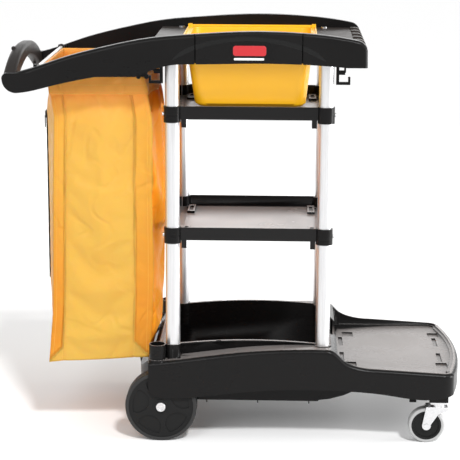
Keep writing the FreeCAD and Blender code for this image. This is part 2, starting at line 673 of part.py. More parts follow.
def top_deck():
    half = RAIL_Y[0]
    low, high = DECK_Z
    plate = box(DECK_X, (-half, half), DECK_Z)
    opening_x = (BIN_RIM_X[0] + BIN_SEAT, BIN_RIM_X[1] - BIN_SEAT)
    opening_y = (-BIN_RIM_HALF_Y + BIN_SEAT, BIN_RIM_HALF_Y - BIN_SEAT)
    curb_x = (opening_x[0] - CURB_WALL, opening_x[1] + CURB_WALL)
    curb_y = (opening_y[0] - CURB_WALL, opening_y[1] + CURB_WALL)
    corner_r = 25.0
    curb = rounded_block(curb_x, curb_y, corner_r + CURB_WALL, (low - CURB_DROP, high))
    end_wall = box((DECK_X[0], DECK_X[0] + DECK_WALL), (-half, half), (DECK_WALL_FOOT_Z, high))
    arch_z = DECK_WALL_FOOT_Z + DECK_WALL_ARCH_RISE - DECK_WALL_ARCH_R
    arch = cylinder(DECK_WALL_ARCH_R, (DECK_X[0] - 1, 0, arch_z), DECK_WALL + 2, X_AXIS)
    sockets = [cylinder(DECK_SOCKET_R, (x, y, DECK_SOCKET_Z), low - DECK_SOCKET_Z) for x, y in post_places()]
    deck = fused([plate, curb, end_wall.cut(arch)] + sockets)
    cuts = [rounded_block(opening_x, opening_y, corner_r, (low - CURB_DROP - 1, high + 1))]
    cuts += [cylinder(POST_R + FIT, (x, y, DECK_SOCKET_Z - 1), POST_TOP_Z - DECK_SOCKET_Z + 1.1)
             for x, y in post_places()]
    cuts += [cylinder(DECK_SCREW_R + FIT, (x, y, POST_TOP_Z), 20) for x, y in post_places()]
    save("top_deck", [deck.cut(cuts).removeSplitter()])


def end_cap():
    """Cap across the nose end of the deck with a row of rounded hook lugs."""
    start, low, high = DECK_X[1], CAP_FOOT_Z, DECK_Z[1]

    def cap_edges(reach, top):
        turn = [(reach - 16, top), (reach - 5, top - 5), (reach, top - 16)]
        return (line(at_xz([(start, low), (start, top), turn[0]])) + arc(at_xz(turn))
                + line(at_xz([turn[2], (reach, low), (start, low)])))
    half = RAIL_Y[0]
    cap = prism_y(cap_edges(CAP_REACH, high), -half, half)
    room_y = (-half + CAP_WALL, half - CAP_WALL)
    cap = cap.cut(box((start - 1, CAP_REACH - CAP_WALL), room_y, (low - 1, high - 6)))
    first = -HOOK_PITCH * (HOOK_COUNT - 1) / 2
    lugs = []
    for index in range(HOOK_COUNT):
        y = first + HOOK_PITCH * index
        lug = prism_y(cap_edges(RAIL_END_X, high + 5), y - HOOK_WIDTH / 2, y + HOOK_WIDTH / 2)
        lugs.append(lug.cut(box((start - 1, CAP_REACH - 2), (-half, half), (low - 1, high - 2))))
    save("end_cap", [fused([cap] + lugs)])


def grip_section(y):
    """Rounded section of the handle grip at depth y; it is tallest where it meets the arms."""
    share = abs(y) / RAIL_Y[0]
    top = GRIP_TOP_Z[0] - (GRIP_TOP_Z[0] - GRIP_TOP_Z[1]) * share ** 2.4
    low = GRIP_BOTTOM_Z[0] - (GRIP_BOTTOM_Z[0] - GRIP_BOTTOM_Z[1]) * share ** 1.7
    x = (HANDLE_X, HANDLE_X + GRIP_DEPTH)
    corners = [
        (x[0], low, 20, 1, 1), (x[1], low, 10, -1, 1), (x[1], top, 10, -1, -1), (x[0], top, 12, 1, -1)]
    arcs = []
    for index, (cx, cz, radius, sx, sz) in enumerate(corners):
        mid = radius * (1 - math.sqrt(0.5))
        ends = [Vector(cx, y, cz + sz * radius), Vector(cx + sx * radius, y, cz)]
        if index % 2:
            ends.reverse()
        arcs.append([ends[0], Vector(cx + sx * mid, y, cz + sz * mid), ends[1]])
    edges = []
    for here, after in zip(arcs, arcs[1:] + arcs[:1]):
        edges += arc(here) + line([here[2], after[0]])
    return Part.Wire(edges)


def handle_grip():
    half = RAIL_Y[0]
    stations = [half * share for share in (-1, -0.8, -0.55, -0.28, 0, 0.28, 0.55, 0.8, 1)]
    grip = Part.makeLoft([grip_section(y) for y in stations], True, False)
    knob = Part.makeSphere(KNOB_R, Vector(HANDLE_X + KNOB_R, *KNOB_YZ))
    peg = box((HANDLE_X + 14, HANDLE_X + 22), PEG_Y, PEG_Z)
    toe = box((HANDLE_X + 14, HANDLE_X + 32), PEG_Y, (PEG_Z[0], PEG_Z[0] + 6))
    save("handle_grip", [fused([grip, knob] + both_sides([peg, toe]))])


def tool_clip(x_root, outward):
    """Broom clip that hangs from the deck: a small window above an open hook."""
    def flat(u, z):
        xs = tuple(sorted((x_root + outward * u[0], x_root + outward * u[1])))
        return box(xs, (POST_Y - CLIP_THICK / 2, POST_Y + CLIP_THICK / 2), z)
    foot = CLIP_FOOT_Z
    hook = flat((0, CLIP_REACH), (foot, foot + 33))
    hook = hook.cut([flat((CLIP_STEM, CLIP_REACH - 6), (foot + 7, foot + 27)),
                     flat((24, CLIP_REACH + 1), (foot + 21, foot + 34))])
    eye = flat((0, CLIP_EYE), (foot + 33, foot + 55))
    eye = eye.cut(flat((CLIP_STEM, CLIP_EYE - 5), (foot + 38, foot + 50)))
    stem = flat((0, CLIP_STEM), (foot + 50, DECK_Z[0]))
    return fused([hook, eye, stem])


def rod_saddle(x, z):
    """Open seat for the end of a rod, with two round feet that show under the rail."""
    y0 = RAIL_Y[0] - SADDLE_DEPTH
    block = box((x - SADDLE_HALF_X, x + SADDLE_HALF_X), (y0, RAIL_Y[0]), (z - SADDLE_DROP, z + ROD_R))
    feet = [cylinder(SADDLE_FOOT_R, (x + dx, y0 - 2, z - SADDLE_DROP), SADDLE_DEPTH + 2, Y_AXIS)
            for dx in (-SADDLE_HALF_X, SADDLE_HALF_X - 2)]
    slot_r = ROD_R + 1.2
    slot_z = z + slot_r - ROD_R - 0.3
    slot = cylinder(slot_r, (x, y0 - 3, slot_z), SADDLE_DEPTH + 4, Y_AXIS)
    mouth = box((x - slot_r, x + slot_r), (y0 - 3, RAIL_Y[0] + 1), (slot_z, z + 20))
    return fused([block] + feet).cut([slot, mouth])


def tool_cup():
    low, high = CUP_Z
    cup = cylinder(CUP_R, (CUP_X, CUP_Y, low), high - low)
    return cup.cut(cylinder(CUP_BORE_R, (CUP_X, CUP_Y, low + CUP_FLOOR), high - low))


def small_frame_parts():
    reach = POST_X[1] + DECK_SOCKET_R + 1
    clips = [tool_clip(reach, 1), tool_clip(2 * MIDDLE_X - reach, -1)]
    save("tool_clips", both_sides(clips))
    save("rod_saddles", both_sides([rod_saddle(x, z) for x, z in ROD_AT]))
    save("tool_cups", both_sides([tool_cup()]))


# ---------------------------------------------------------------- bin

def bin_body(shrink):
    top, foot = BIN_BODY_TOP, BIN_BODY_FOOT
    radius = BIN_CORNER_R - shrink

    def ring(size, z, r):
        return rounded_wire((size[0] + shrink, size[1] - shrink), (-size[2] + shrink, size[2] - shrink), r, z)
    chamfer = 9.0
    base = (foot[0] + chamfer, foot[1] - chamfer, foot[2] - chamfer)
    low = BIN_FOOT_Z + shrink
    rings = [ring(base, low, radius), ring(foot, low + chamfer, radius), ring(top, BIN_RIM_Z[1], radius)]
    return Part.makeLoft(rings, True, True)


def lift_out_bin():
    y = (-BIN_RIM_HALF_Y, BIN_RIM_HALF_Y)
    rim = rounded_block(BIN_RIM_X, y, BIN_RIM_R, BIN_RIM_Z)
    inner_x = (BIN_RIM_X[0] + BIN_LIP, BIN_RIM_X[1] - BIN_LIP)
    inner_y = (y[0] + BIN_LIP, y[1] - BIN_LIP)
    lip = rounded_block(BIN_RIM_X, y, BIN_RIM_R, (BIN_RIM_Z[1] - 1, BIN_LIP_Z))
    lip = lip.cut(rounded_block(inner_x, inner_y, BIN_RIM_R - BIN_LIP, (BIN_RIM_Z[1] - 2, BIN_LIP_Z + 1)))
    ears = []
    for x in ((BIN_RIM_X[0], BIN_RIM_X[0] + 12), (BIN_RIM_X[1] - 12, BIN_RIM_X[1])):
        ears.append(box(x, (y[1] - 44, y[1] - 22), (BIN_RIM_Z[1] - 1, BIN_LIP_Z + 5)))
    body = fused([bin_body(0), rim, lip] + both_sides(ears))
    mouth_x = (BIN_BODY_TOP[0] + BIN_WALL, BIN_BODY_TOP[1] - BIN_WALL)
    mouth_half_y = BIN_BODY_TOP[2] - BIN_WALL
    mouth = rounded_block(mouth_x, (-mouth_half_y, mouth_half_y), BIN_CORNER_R - BIN_WALL,
                          (BIN_RIM_Z[1] - 0.5, 1200))
    mouth = bin_body(BIN_WALL).fuse(mouth)
    save("bin", [body.cut(mouth).removeSplitter()])


# ---------------------------------------------------------------- bag

def bag_wire(section, shrink):
    z_handle, z_post, x0, x0_mid, x1, x1_mid, y, y_mid = section
    x0, x0_mid, x1, x1_mid = x0 + shrink, x0_mid + shrink, x1 - shrink, x1_mid - shrink
    y, y_mid = y - shrink, y_mid - shrink
    slope = (z_post - z_handle) / (x1 - x0)

    def point(px, py):
        return Vector(px, py, z_handle + slope * (px - x0))
    middle = (x0 + x1) / 2
    sides = [
        [point(x0, -y), point(middle, -y_mid), point(x1, -y)],
        [point(x1, -y), point(x1_mid, 0), point(x1, y)],
        [point(x1, y), point(middle, y_mid), point(x0, y)],
        [point(x0, y), point(x0_mid, 0), point(x0, -y)],
    ]
    edges = []
    for side in sides:
        straight = (side[0] + side[2]).multiply(0.5).distanceToPoint(side[1]) < 0.01
        edges += line([side[0], side[2]]) if straight else arc(side)
    return Part.Wire(edges)


def bag_solid(shrink):
    sections = list(BAG_SECTIONS)
    if shrink:
        low, high = sections[0], sections[-1]
        sections[0] = (low[0] + shrink, low[1] + shrink) + low[2:]
        sections[-1] = (high[0] + 1, high[1] + 1) + high[2:]
    return Part.makeLoft([bag_wire(section, shrink) for section in sections], True, True)


def bag():
    """Open-topped bag that hangs by two loops on each rod."""
    shell = bag_solid(0).cut(bag_solid(BAG_WALL))
    loop_r = ROD_R + LOOP_GAP
    loops = [tube(loop_r + LOOP_WALL, loop_r, (x, LOOP_Y - LOOP_WIDTH / 2, z), LOOP_WIDTH, Y_AXIS)
             for x, z in ROD_AT]
    save("bag", [fused([shell] + both_sides(loops))])


def bag_hardware():
    save("bag_rods", [cylinder(ROD_R, (x, -ROD_HALF_Y, z), 2 * ROD_HALF_Y, Y_AXIS) for x, z in ROD_AT])
    x, z = ROD_AT[0]
    room = ROD_KNOB_R + 1
    trim = box((x - room, x + room), (ROD_KNOB_Y - 10, ROD_KNOB_Y + 10), (z - room, z + room))
    knob = Part.makeSphere(ROD_KNOB_R, Vector(x, ROD_KNOB_Y, z)).common(trim)
    save("rod_knob", [knob.cut(cylinder(ROD_R + FIT, (x, 0, z), ROD_HALF_Y, Y_AXIS))])
    tape_x = (ZIP_X - ZIP_THICK, ZIP_X)
    save("zip_tape", [box(tape_x, (-ZIP_HALF_WIDTH, ZIP_HALF_WIDTH), ZIP_Z)])
    face = tape_x[0] - FIT
    top = ZIP_Z[1] - 4
    body = box((face - 4, face), (-6, 6), (top - SLIDER_LENGTH, top))
    pull = box((face - 5.5, face - 3.5), (-3, 3), (top - SLIDER_LENGTH - 28, top - 14))
    save("zip_slider", [fused([body, pull])])


# ---------------------------------------------------------------- rear wheels

def pocket(angle):
    """Shallow petal between two arms of the hub's star: round towards the hub, open towards the rim."""
    low_r, high_r = POCKET_R

    def rim_point(radius, degrees):
        turn = math.radians(angle + degrees)
        return Vector(AXLE_X + radius * math.cos(turn), 0, WHEEL_R + radius * math.sin(turn))
    ends = [rim_point(high_r, -POCKET_HALF_DEGREES), rim_point(high_r, POCKET_HALF_DEGREES)]
    edges = arc([ends[0], rim_point(low_r, 0), ends[1]]) + arc([ends[1], rim_point(high_r, 0), ends[0]])
    return prism_y(edges, -WHEEL_Y[1] + 1, -WHEEL_Y[1] + 2 + POCKET_DEPTH)


def near_wheel():
    outer, inner = -WHEEL_Y[1], -WHEEL_Y[0]
    core = cylinder(TREAD_BED_R, (AXLE_X, outer + 2, WHEEL_R), inner - outer - 4, Y_AXIS)
    hollow_start = (AXLE_X, outer + 2 + WHEEL_WEB, WHEEL_R)
    hollow = tube(TREAD_BED_R - WHEEL_RIM_WALL, WHEEL_HUB_R + 4, hollow_start, 60, Y_AXIS)
    hub = cylinder(WHEEL_HUB_R, (AXLE_X, outer + 0.5, WHEEL_R), inner - outer - 1, Y_AXIS)
    pockets = [pocket(POCKET_START_DEGREES + 360 / POCKET_COUNT * index) for index in range(POCKET_COUNT)]
    core = core.fuse(hub).cut([hollow] + pockets)
    return core.cut(cylinder(BUSH_R + FIT, (AXLE_X, outer - 1, WHEEL_R), 60, Y_AXIS)).removeSplitter()


def near_tread():
    outer, inner = -WHEEL_Y[1], -WHEEL_Y[0]
    tread = cylinder(WHEEL_R, (AXLE_X, outer, WHEEL_R), inner - outer, Y_AXIS)
    tread = tread.makeFillet(TYRE_SHOULDER, [edge for edge in tread.Edges
                                             if abs(edge.Length - 2 * math.pi * WHEEL_R) < 1])
    return tread.cut(cylinder(TREAD_BED_R, (AXLE_X, outer - 1, WHEEL_R), 60, Y_AXIS))


def near_bushes():
    outer, inner = -WHEEL_Y[1], -WHEEL_Y[0]
    return [tube(BUSH_R, AXLE_R + FIT, (AXLE_X, y, WHEEL_R), BUSH_LENGTH, Y_AXIS)
            for y in (outer + 0.5, inner - 0.5 - BUSH_LENGTH)]


def rear_wheels():
    for side, place in (("near", lambda shape: shape), ("far", mirrored)):
        save("rear_wheel_" + side, [place(near_wheel())])
        save("rear_tread_" + side, [place(near_tread())])
        save("rear_bush_" + side, [place(bush) for bush in near_bushes()])
    reach = WHEEL_Y[1] + 4
    save("rear_axle", [cylinder(AXLE_R, (AXLE_X, -reach, WHEEL_R), 2 * reach, Y_AXIS)])
    cap = cylinder(AXLE_CAP_R, (AXLE_X, WHEEL_Y[1] + 0.5, WHEEL_R), AXLE_CAP_LENGTH, Y_AXIS)
    cap = cap.makeChamfer(1.5, [edge for edge in cap.Edges if edge.CenterOfMass.y > WHEEL_Y[1] + 5])
    cap = cap.cut([cylinder(AXLE_R + FIT, (AXLE_X, 0, WHEEL_R), SKIRT_Y + 10, Y_AXIS),
                   cylinder(AXLE_CAP_DISH_R, (AXLE_X, WHEEL_Y[1] + AXLE_CAP_LENGTH - 1.5, WHEEL_R), 10, Y_AXIS)])
    save("axle_caps", both_sides([cap]))


# ---------------------------------------------------------------- casters

def caster_fork():
    x_axle = SWIVEL_X - CASTER_TRAIL
    half = LEG_GAP + LEG_THICK
    crown = rounded_block((x_axle - 2, SWIVEL_X + 26), (CASTER_Y - half, CASTER_Y + half), 8, CROWN_Z)
    race = cylinder(19, (SWIVEL_X, CASTER_Y, CROWN_Z[1]), RACE_Z - CROWN_Z[1] - FIT)
    side = line(at_xz([(x_axle - 2, CROWN_Z[1]), (SWIVEL_X + 26, CROWN_Z[1]), (SWIVEL_X + 24, CROWN_Z[0] - 6),
                       (SWIVEL_X, 84), (x_axle + 12, CASTER_R + 4), (x_axle, CASTER_R - 2),
                       (x_axle - 12, CASTER_R + 2), (x_axle - 2, CROWN_Z[1])]))
    legs = []
    for y in (CASTER_Y - half, CASTER_Y + LEG_GAP):
        legs.append(prism_y(side, y, y + LEG_THICK))
        legs.append(cylinder(12, (x_axle, y, CASTER_R), LEG_THICK, Y_AXIS))
    fork = fused([crown, race] + legs)
    return fork.cut([cylinder(KING_PIN_R + FIT, (SWIVEL_X, CASTER_Y, 90), 40),
                     cylinder(CASTER_AXLE_R + FIT, (x_axle, CASTER_Y - 40, CASTER_R), 80, Y_AXIS)])


def caster_axle():
    x_axle = SWIVEL_X - CASTER_TRAIL
    half = LEG_GAP + LEG_THICK
    bolt = cylinder(CASTER_AXLE_R, (x_axle, CASTER_Y - half - 3, CASTER_R), 2 * half + 7, Y_AXIS)
    head = cylinder(7, (x_axle, CASTER_Y + half, CASTER_R), 4, Y_AXIS)
    corners = [Vector(x_axle + 7.5 * math.cos(math.radians(60 * turn)), 0,
                      CASTER_R + 7.5 * math.sin(math.radians(60 * turn))) for turn in range(7)]
    nut = prism_y(line(corners), CASTER_Y - half - 5, CASTER_Y - half)
    return fused([bolt, head, nut])


def caster_hub():
    x_axle = SWIVEL_X - CASTER_TRAIL
    half = CASTER_WIDTH / 2
    disc = cylinder(CASTER_HUB_R, (x_axle, CASTER_Y - half + 1, CASTER_R), 2 * half - 2, Y_AXIS)
    dishes = [tube(CASTER_HUB_R - 6, 13, (x_axle, y, CASTER_R), 5, Y_AXIS)
              for y in (CASTER_Y - half + 1, CASTER_Y + half - 6)]
    boss = cylinder(10, (x_axle, CASTER_Y - LEG_GAP + 0.1, CASTER_R), 2 * LEG_GAP - 0.2, Y_AXIS)
    hub = disc.cut(dishes).fuse(boss)
    bore = cylinder(CASTER_AXLE_R + FIT, (x_axle, CASTER_Y - 40, CASTER_R), 80, Y_AXIS)
    return hub.cut(bore).removeSplitter()


def caster_tyre():
    x_axle = SWIVEL_X - CASTER_TRAIL
    tyre = cylinder(CASTER_R, (x_axle, CASTER_Y - CASTER_WIDTH / 2, CASTER_R), CASTER_WIDTH, Y_AXIS)
    tyre = tyre.makeFillet(TYRE_SHOULDER, [edge for edge in tyre.Edges
                                           if abs(edge.Length - 2 * math.pi * CASTER_R) < 1])
    return tyre.cut(cylinder(CASTER_HUB_R, (x_axle, CASTER_Y - 40, CASTER_R), 80, Y_AXIS))


def caster_mounting():
    half = PLATE_SIZE / 2
    plate = rounded_block((SWIVEL_X - half, SWIVEL_X + half), (CASTER_Y - half, CASTER_Y + half), 6,
                          (PLATE_Z, CASTER_PAD_Z))
    places = screw_places(SWIVEL_X, CASTER_Y)
    plate = plate.cut([cylinder(SCREW_R + FIT, (x, y, PLATE_Z - 1), 10) for x, y in places])
    heads = [cylinder(SCREW_HEAD_R, (x, y, PLATE_Z - 3), 3) for x, y in places]
    shanks = [cylinder(SCREW_R, (x, y, PLATE_Z - 1), 11) for x, y in places]
    screws = [fused(pair) for pair in zip(heads, shanks)]
    race = cylinder(21, (SWIVEL_X, CASTER_Y, RACE_Z), PLATE_Z - RACE_Z)
    pin = cylinder(KING_PIN_R, (SWIVEL_X, CASTER_Y, 97), PLATE_Z - 97)
    rivet = cylinder(9, (SWIVEL_X, CASTER_Y, 97), CROWN_Z[0] - 97 - FIT)
    return plate, screws, fused([race, pin, rivet])


def casters():
    plate, screws, race = caster_mounting()
    save("caster_plates", both_sides([plate]))
    save("caster_screws", both_sides(screws))
    save("caster_races", both_sides([race]))
    parts = {"caster_fork": caster_fork(), "caster_axle": caster_axle(), "caster_hub": caster_hub(),
             "caster_tyre": caster_tyre()}
    for name, shape in parts.items():
        save(name + "_near", [mirrored(shape)])
        save(name + "_far", [shape])


os.makedirs("parts", exist_ok=True)
base_deck()
posts()
post_fixings()
shelf("lower_shelf", SHELF_TOP_Z[0])
shelf("upper_shelf", SHELF_TOP_Z[1])
collars()
rails()
top_deck()
end_cap()
handle_grip()
small_frame_parts()
lift_out_bin()
bag()
bag_hardware()
rear_wheels()
casters()
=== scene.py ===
import json
import math

import bmesh
import bpy
from mathutils import Matrix, Vector, noise


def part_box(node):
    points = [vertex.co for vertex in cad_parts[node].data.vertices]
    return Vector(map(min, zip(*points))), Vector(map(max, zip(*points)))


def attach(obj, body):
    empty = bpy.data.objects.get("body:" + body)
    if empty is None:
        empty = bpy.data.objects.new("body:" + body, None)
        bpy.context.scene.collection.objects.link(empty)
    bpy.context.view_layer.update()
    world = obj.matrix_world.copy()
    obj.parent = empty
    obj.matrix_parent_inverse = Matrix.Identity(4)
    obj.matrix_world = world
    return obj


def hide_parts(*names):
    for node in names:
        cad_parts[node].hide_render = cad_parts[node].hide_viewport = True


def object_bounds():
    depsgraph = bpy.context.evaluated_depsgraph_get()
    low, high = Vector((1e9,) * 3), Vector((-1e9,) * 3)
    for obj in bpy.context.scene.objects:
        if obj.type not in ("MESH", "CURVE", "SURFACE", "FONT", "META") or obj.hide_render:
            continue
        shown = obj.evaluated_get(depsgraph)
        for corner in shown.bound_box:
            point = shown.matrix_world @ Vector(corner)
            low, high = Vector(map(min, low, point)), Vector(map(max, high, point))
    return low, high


# Looks of the housekeeping cart. Everything is in metres in the CAD's own frame.

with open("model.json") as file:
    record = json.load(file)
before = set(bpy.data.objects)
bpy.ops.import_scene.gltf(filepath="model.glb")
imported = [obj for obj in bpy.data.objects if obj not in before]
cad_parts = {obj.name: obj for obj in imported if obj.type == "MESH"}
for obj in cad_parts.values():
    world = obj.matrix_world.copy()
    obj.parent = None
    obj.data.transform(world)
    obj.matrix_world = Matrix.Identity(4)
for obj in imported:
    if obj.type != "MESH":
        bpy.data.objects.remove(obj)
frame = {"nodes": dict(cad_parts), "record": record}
CAD_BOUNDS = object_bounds()
NODES = frame["nodes"]
SLOT_OF = {part["node"]: part["material_slot"] for part in frame["record"]["subparts"]}
BODY_OF = {node: body for body, names in frame["record"]["behaviour"]["bodies"].items() for node in names}
COLOUR_OF = {m["slot"]: m["base_color"] for m in frame["record"]["materials"]}
WELD = 0.00002                   # CAD points closer than this are one point
# Paler warm grey painted on floors that face up: painted sheen for floors seen at a grazing angle. The second
# colour tints their real sheen lobe.
PAINTED_SHEEN_TONE = (0.13, 0.115, 0.108, 1.0)
UP_SHEEN_TINT = (1.0, 0.93, 0.9, 1.0)


# ---------------------------------------------------------------- shader building blocks

class Shader:
    """A material under construction: nodes are added by name and linked through their inputs."""

    def __init__(self, name):
        self.material = bpy.data.materials.new(name)
        self.material.use_nodes = True
        self.tree = self.material.node_tree
        self.surface = self.tree.nodes["Principled BSDF"]

    def add(self, kind, settings=None, **inputs):
        node = self.tree.nodes.new("ShaderNode" + kind)
        for key, value in (settings or {}).items():
            setattr(node, key, value)
        for key, value in inputs.items():
            self.feed(node, key.replace("_", " "), value)
        return node

    def feed(self, node, key, value):
        """Links or sets an input, found by its name or its number."""
        socket = node.inputs[key]
        if isinstance(value, bpy.types.NodeSocket):
            self.tree.links.new(value, socket)
        else:
            socket.default_value = value

    def put(self, **inputs):
        for key, value in inputs.items():
            self.feed(self.surface, key.replace("_", " "), value)

    def math(self, operation, a, b=0.0):
        node = self.add("Math", {"operation": operation})
        self.feed(node, 0, a)
        self.feed(node, 1, b)
        return node.outputs[0]

    def mix(self, share, a, b):
        """Colour a where share is 0, b where it is 1. The Mix node's colour sockets come after its others."""
        node = self.add("Mix", {"data_type": "RGBA"})
        for index, value in ((0, share), (6, a), (7, b)):
            self.feed(node, index, value)
        return node.outputs[2]

    def ramp(self, value, low, high, out_low=0.0, out_high=1.0):
        node = self.add("MapRange", {"interpolation_type": "SMOOTHSTEP"})
        for index, item in enumerate((value, low, high, out_low, out_high)):
            self.feed(node, index, item)
        return node.outputs[0]

    def place(self):
        return self.add("TexCoord").outputs["Object"]

    def noise(self, scale, detail=3.0, stretch=None):
        where = self.place()
        if stretch:
            where = self.add("Mapping", Vector=where, Scale=stretch).outputs[0]
        return self.add("TexNoise", Vector=where, Scale=scale, Detail=detail, Roughness=0.55).outputs["Fac"]

    def bands(self, where, direction, scale, **more):
        """Parallel sine bands along one direction, as threads run."""
        settings = {"wave_type": "BANDS", "wave_profile": "SIN", "bands_direction": direction}
        return self.add("TexWave", settings, Vector=where, Scale=scale, **more).outputs["Fac"]

    def edge_wear(self, radius):
        """0 on flat ground, rising towards 1 on sharp outer edges."""
        soft = self.rounded_normal(radius)
        hard = self.add("NewGeometry").outputs["Normal"]
        dot = self.add("VectorMath", {"operation": "DOT_PRODUCT"})
        self.feed(dot, 0, soft)
        self.feed(dot, 1, hard)
        return self.ramp(dot.outputs["Value"], 0.995, 0.86)

    def worn(self, radius, scale, detail, low, high):
        """Edge wear broken up into patches."""
        return self.math("MULTIPLY", self.edge_wear(radius), self.ramp(self.noise(scale, detail), low, high))

    def bump(self, height, depth, normal=None):
        node = self.add("Bump", Height=height, Distance=depth, Strength=1.0)
        if normal is not None:
            self.feed(node, "Normal", normal)
        return node.outputs[0]

    def rounded_normal(self, radius):
        return self.add("Bevel", {"samples": 4}, Radius=radius).outputs[0]


def rgba(colour, gain=1.0):
    return tuple(min(1.0, c * gain) for c in colour[:3]) + (1.0,)


def tinted(colour, tint):
    return rgba([c * t for c, t in zip(colour, tint)])


def moulded_plastic(slot, roughness, grain=0.00012, grain_scale=1400.0, depth=0.18, gloss=0.12, painted_sheen=0.0):
    """Injection-moulded plastic: fine grain, uneven gloss, faint flow marks, paler rubbed edges.
    depth scales the record's colour, grain is the texture's height, and the last argument sets how
    strongly floors that face up are painted paler in clouded patches: painted sheen for floors seen
    at a grazing angle, beside a real sheen lobe on them."""
    s = Shader(slot)
    base = [c * depth for c in COLOUR_OF[slot][:3]]
    cloud = s.noise(5.0, 4.0)
    fine = s.noise(grain_scale, 2.0)
    flow = s.noise(14.0, 2.0, stretch=(1.0, 1.0, 6.0))
    worn = s.worn(0.0016, 35.0, 5.0, 0.42, 0.66)
    tint = s.mix(cloud, rgba(base, 0.8), rgba(base, 1.25))
    pale = rgba([0.5 * c + 0.06 for c in base])
    # Painted sheen: floors that face up are painted paler in clouded patches, as floors seen at a grazing
    # angle look pale.
    if painted_sheen:
        normal = s.add("SeparateXYZ", Vector=s.add("TexCoord").outputs["Normal"])
        faces_up = s.ramp(normal.outputs["Z"], 0.9, 0.99)
        settled = s.math("MULTIPLY", s.math("MULTIPLY", faces_up, s.ramp(cloud, 0.2, 0.7, 0.75, 1.0)), painted_sheen)
        tint = s.mix(settled, tint, PAINTED_SHEEN_TONE)
        s.put(Sheen_Weight=s.math("MULTIPLY", faces_up, 0.5), Sheen_Roughness=0.4, Sheen_Tint=UP_SHEEN_TINT)
    s.put(Base_Color=s.mix(s.math("MULTIPLY", worn, 0.1), tint, pale), Specular_IOR_Level=gloss)
    rough = s.math("ADD", s.ramp(cloud, 0.3, 0.7, roughness - 0.05, roughness + 0.06),
                   s.math("MULTIPLY", flow, 0.06))
    s.put(Roughness=s.math("ADD", rough, s.math("MULTIPLY", worn, 0.1)))
    s.put(Normal=s.bump(fine, grain, s.rounded_normal(0.0012)))
    return s.material


def drawn_metal(slot, roughness, stretch, depth=0.95):
    """Satin or plated metal with lines along the way it was drawn, smudges and dull edges.
    stretch is small along the axis that the lines run."""
    s = Shader(slot)
    base = [c * depth for c in COLOUR_OF[slot][:3]]
    lines = s.noise(260.0, 4.0, stretch=stretch)
    smudge = s.noise(9.0, 4.0)
    worn = s.worn(0.0008, 60.0, 4.0, 0.4, 0.7)
    tint = s.mix(s.ramp(lines, 0.3, 0.7), rgba(base, 0.93), rgba(base, 1.05))
    s.put(Base_Color=s.mix(s.math("MULTIPLY", worn, 0.2), tint, rgba(base, 0.6)), Metallic=1.0)
    s.put(Roughness=s.math("ADD", s.ramp(smudge, 0.3, 0.7, roughness - 0.05, roughness + 0.08),
                           s.math("MULTIPLY", lines, 0.1)))
    s.put(Normal=s.bump(lines, 0.00003, s.rounded_normal(0.0006)))
    return s.material


def coloured_plastic(slot, roughness, coat, tint=(1.0, 1.0, 1.0), scuff_scale=90.0):
    """Bright moulded plastic: slightly see-into, with sink marks, scuffs and a polished skin."""
    s = Shader(slot)
    base = [c * t for c, t in zip(COLOUR_OF[slot], tint)]
    cloud = s.noise(4.0, 3.0)
    scuff = s.noise(scuff_scale, 6.0, stretch=(1.0, 1.0, 0.25))
    worn = s.worn(0.0015, 30.0, 5.0, 0.4, 0.65)
    tint = s.mix(cloud, rgba(base, 0.95), rgba(base, 1.04))
    s.put(Base_Color=s.mix(s.math("MULTIPLY", worn, 0.3), tint, rgba([0.6 * c + 0.35 for c in base[:3]])))
    s.put(Roughness=s.ramp(scuff, 0.3, 0.75, roughness - 0.06, roughness + 0.12))
    s.put(Subsurface_Weight=0.08, Subsurface_Radius=(0.02, 0.012, 0.004), Subsurface_Scale=0.3)
    s.put(Normal=s.bump(s.noise(700.0, 2.0), 0.00008, s.rounded_normal(0.0015)), Coat_Weight=coat,
          Coat_Roughness=0.15)
    return s.material


def rubber(slot, roughness=0.6):
    """Moulded rubber: matt, speckled, clouded by dirt, with paler scuffed shoulders."""
    s = Shader(slot)
    base = COLOUR_OF[slot]
    speck = s.noise(900.0, 3.0)
    dirt = s.noise(30.0, 6.0)
    worn = s.math("MULTIPLY", s.edge_wear(0.003), s.ramp(dirt, 0.4, 0.65))
    tint = s.mix(dirt, rgba(base, 0.6), rgba(base, 0.95))
    s.put(Base_Color=s.mix(s.math("MULTIPLY", worn, 0.2), tint, rgba([c * 0.6 + 0.06 for c in base[:3]])))
    s.put(Roughness=s.ramp(dirt, 0.3, 0.7, roughness - 0.08, roughness + 0.12), Specular_IOR_Level=0.3)
    s.put(Normal=s.bump(speck, 0.00015, s.rounded_normal(0.0015)))
    return s.material


def woven(slot, pitch, roughness, depth):
    """Plain woven tape: crossing threads with frayed tone."""
    s = Shader(slot)
    base = COLOUR_OF[slot]
    across, along = (s.bands(s.place(), way, 1.0 / pitch, Distortion=0.6, Detail=2.0) for way in "YZ")
    weave = s.math("MULTIPLY", across, along)
    s.put(Base_Color=s.mix(weave, rgba(base, 0.6), rgba([c * 1.6 + 0.01 for c in base[:3]])))
    s.put(Roughness=s.ramp(s.noise(50.0), 0.3, 0.7, roughness - 0.06, roughness + 0.06))
    s.put(Normal=s.bump(weave, depth))
    return s.material


# The bag's cloth carries two attributes. "rest" is the unfolded place: X round the bag, Y up it, and Z one of
# the layers below. "seam" is 1 on stitched lines.
SINGLE, DOUBLED, END_WALL = 0.0, 1.0, 2.0
TONES = {                        # of the record's colour, for each part of the cloth
    "single": (0.74, 0.75, 0.68),
    "strip_low": (0.76, 0.5, 0.22),
    "strip_high": (0.77, 0.69, 0.5),
    # hem: painted light, lighter and more orange to offset the rail's shadow on the hem and the band below it
    "hem": (1.08, 0.66, 0.62),
    # end wall: painted glow, a brighter and more saturated orange for light shining through the cloth
    "end_wall": (1.05, 0.54, 0.12),
    "seam": (0.72, 0.42, 0.2),
}


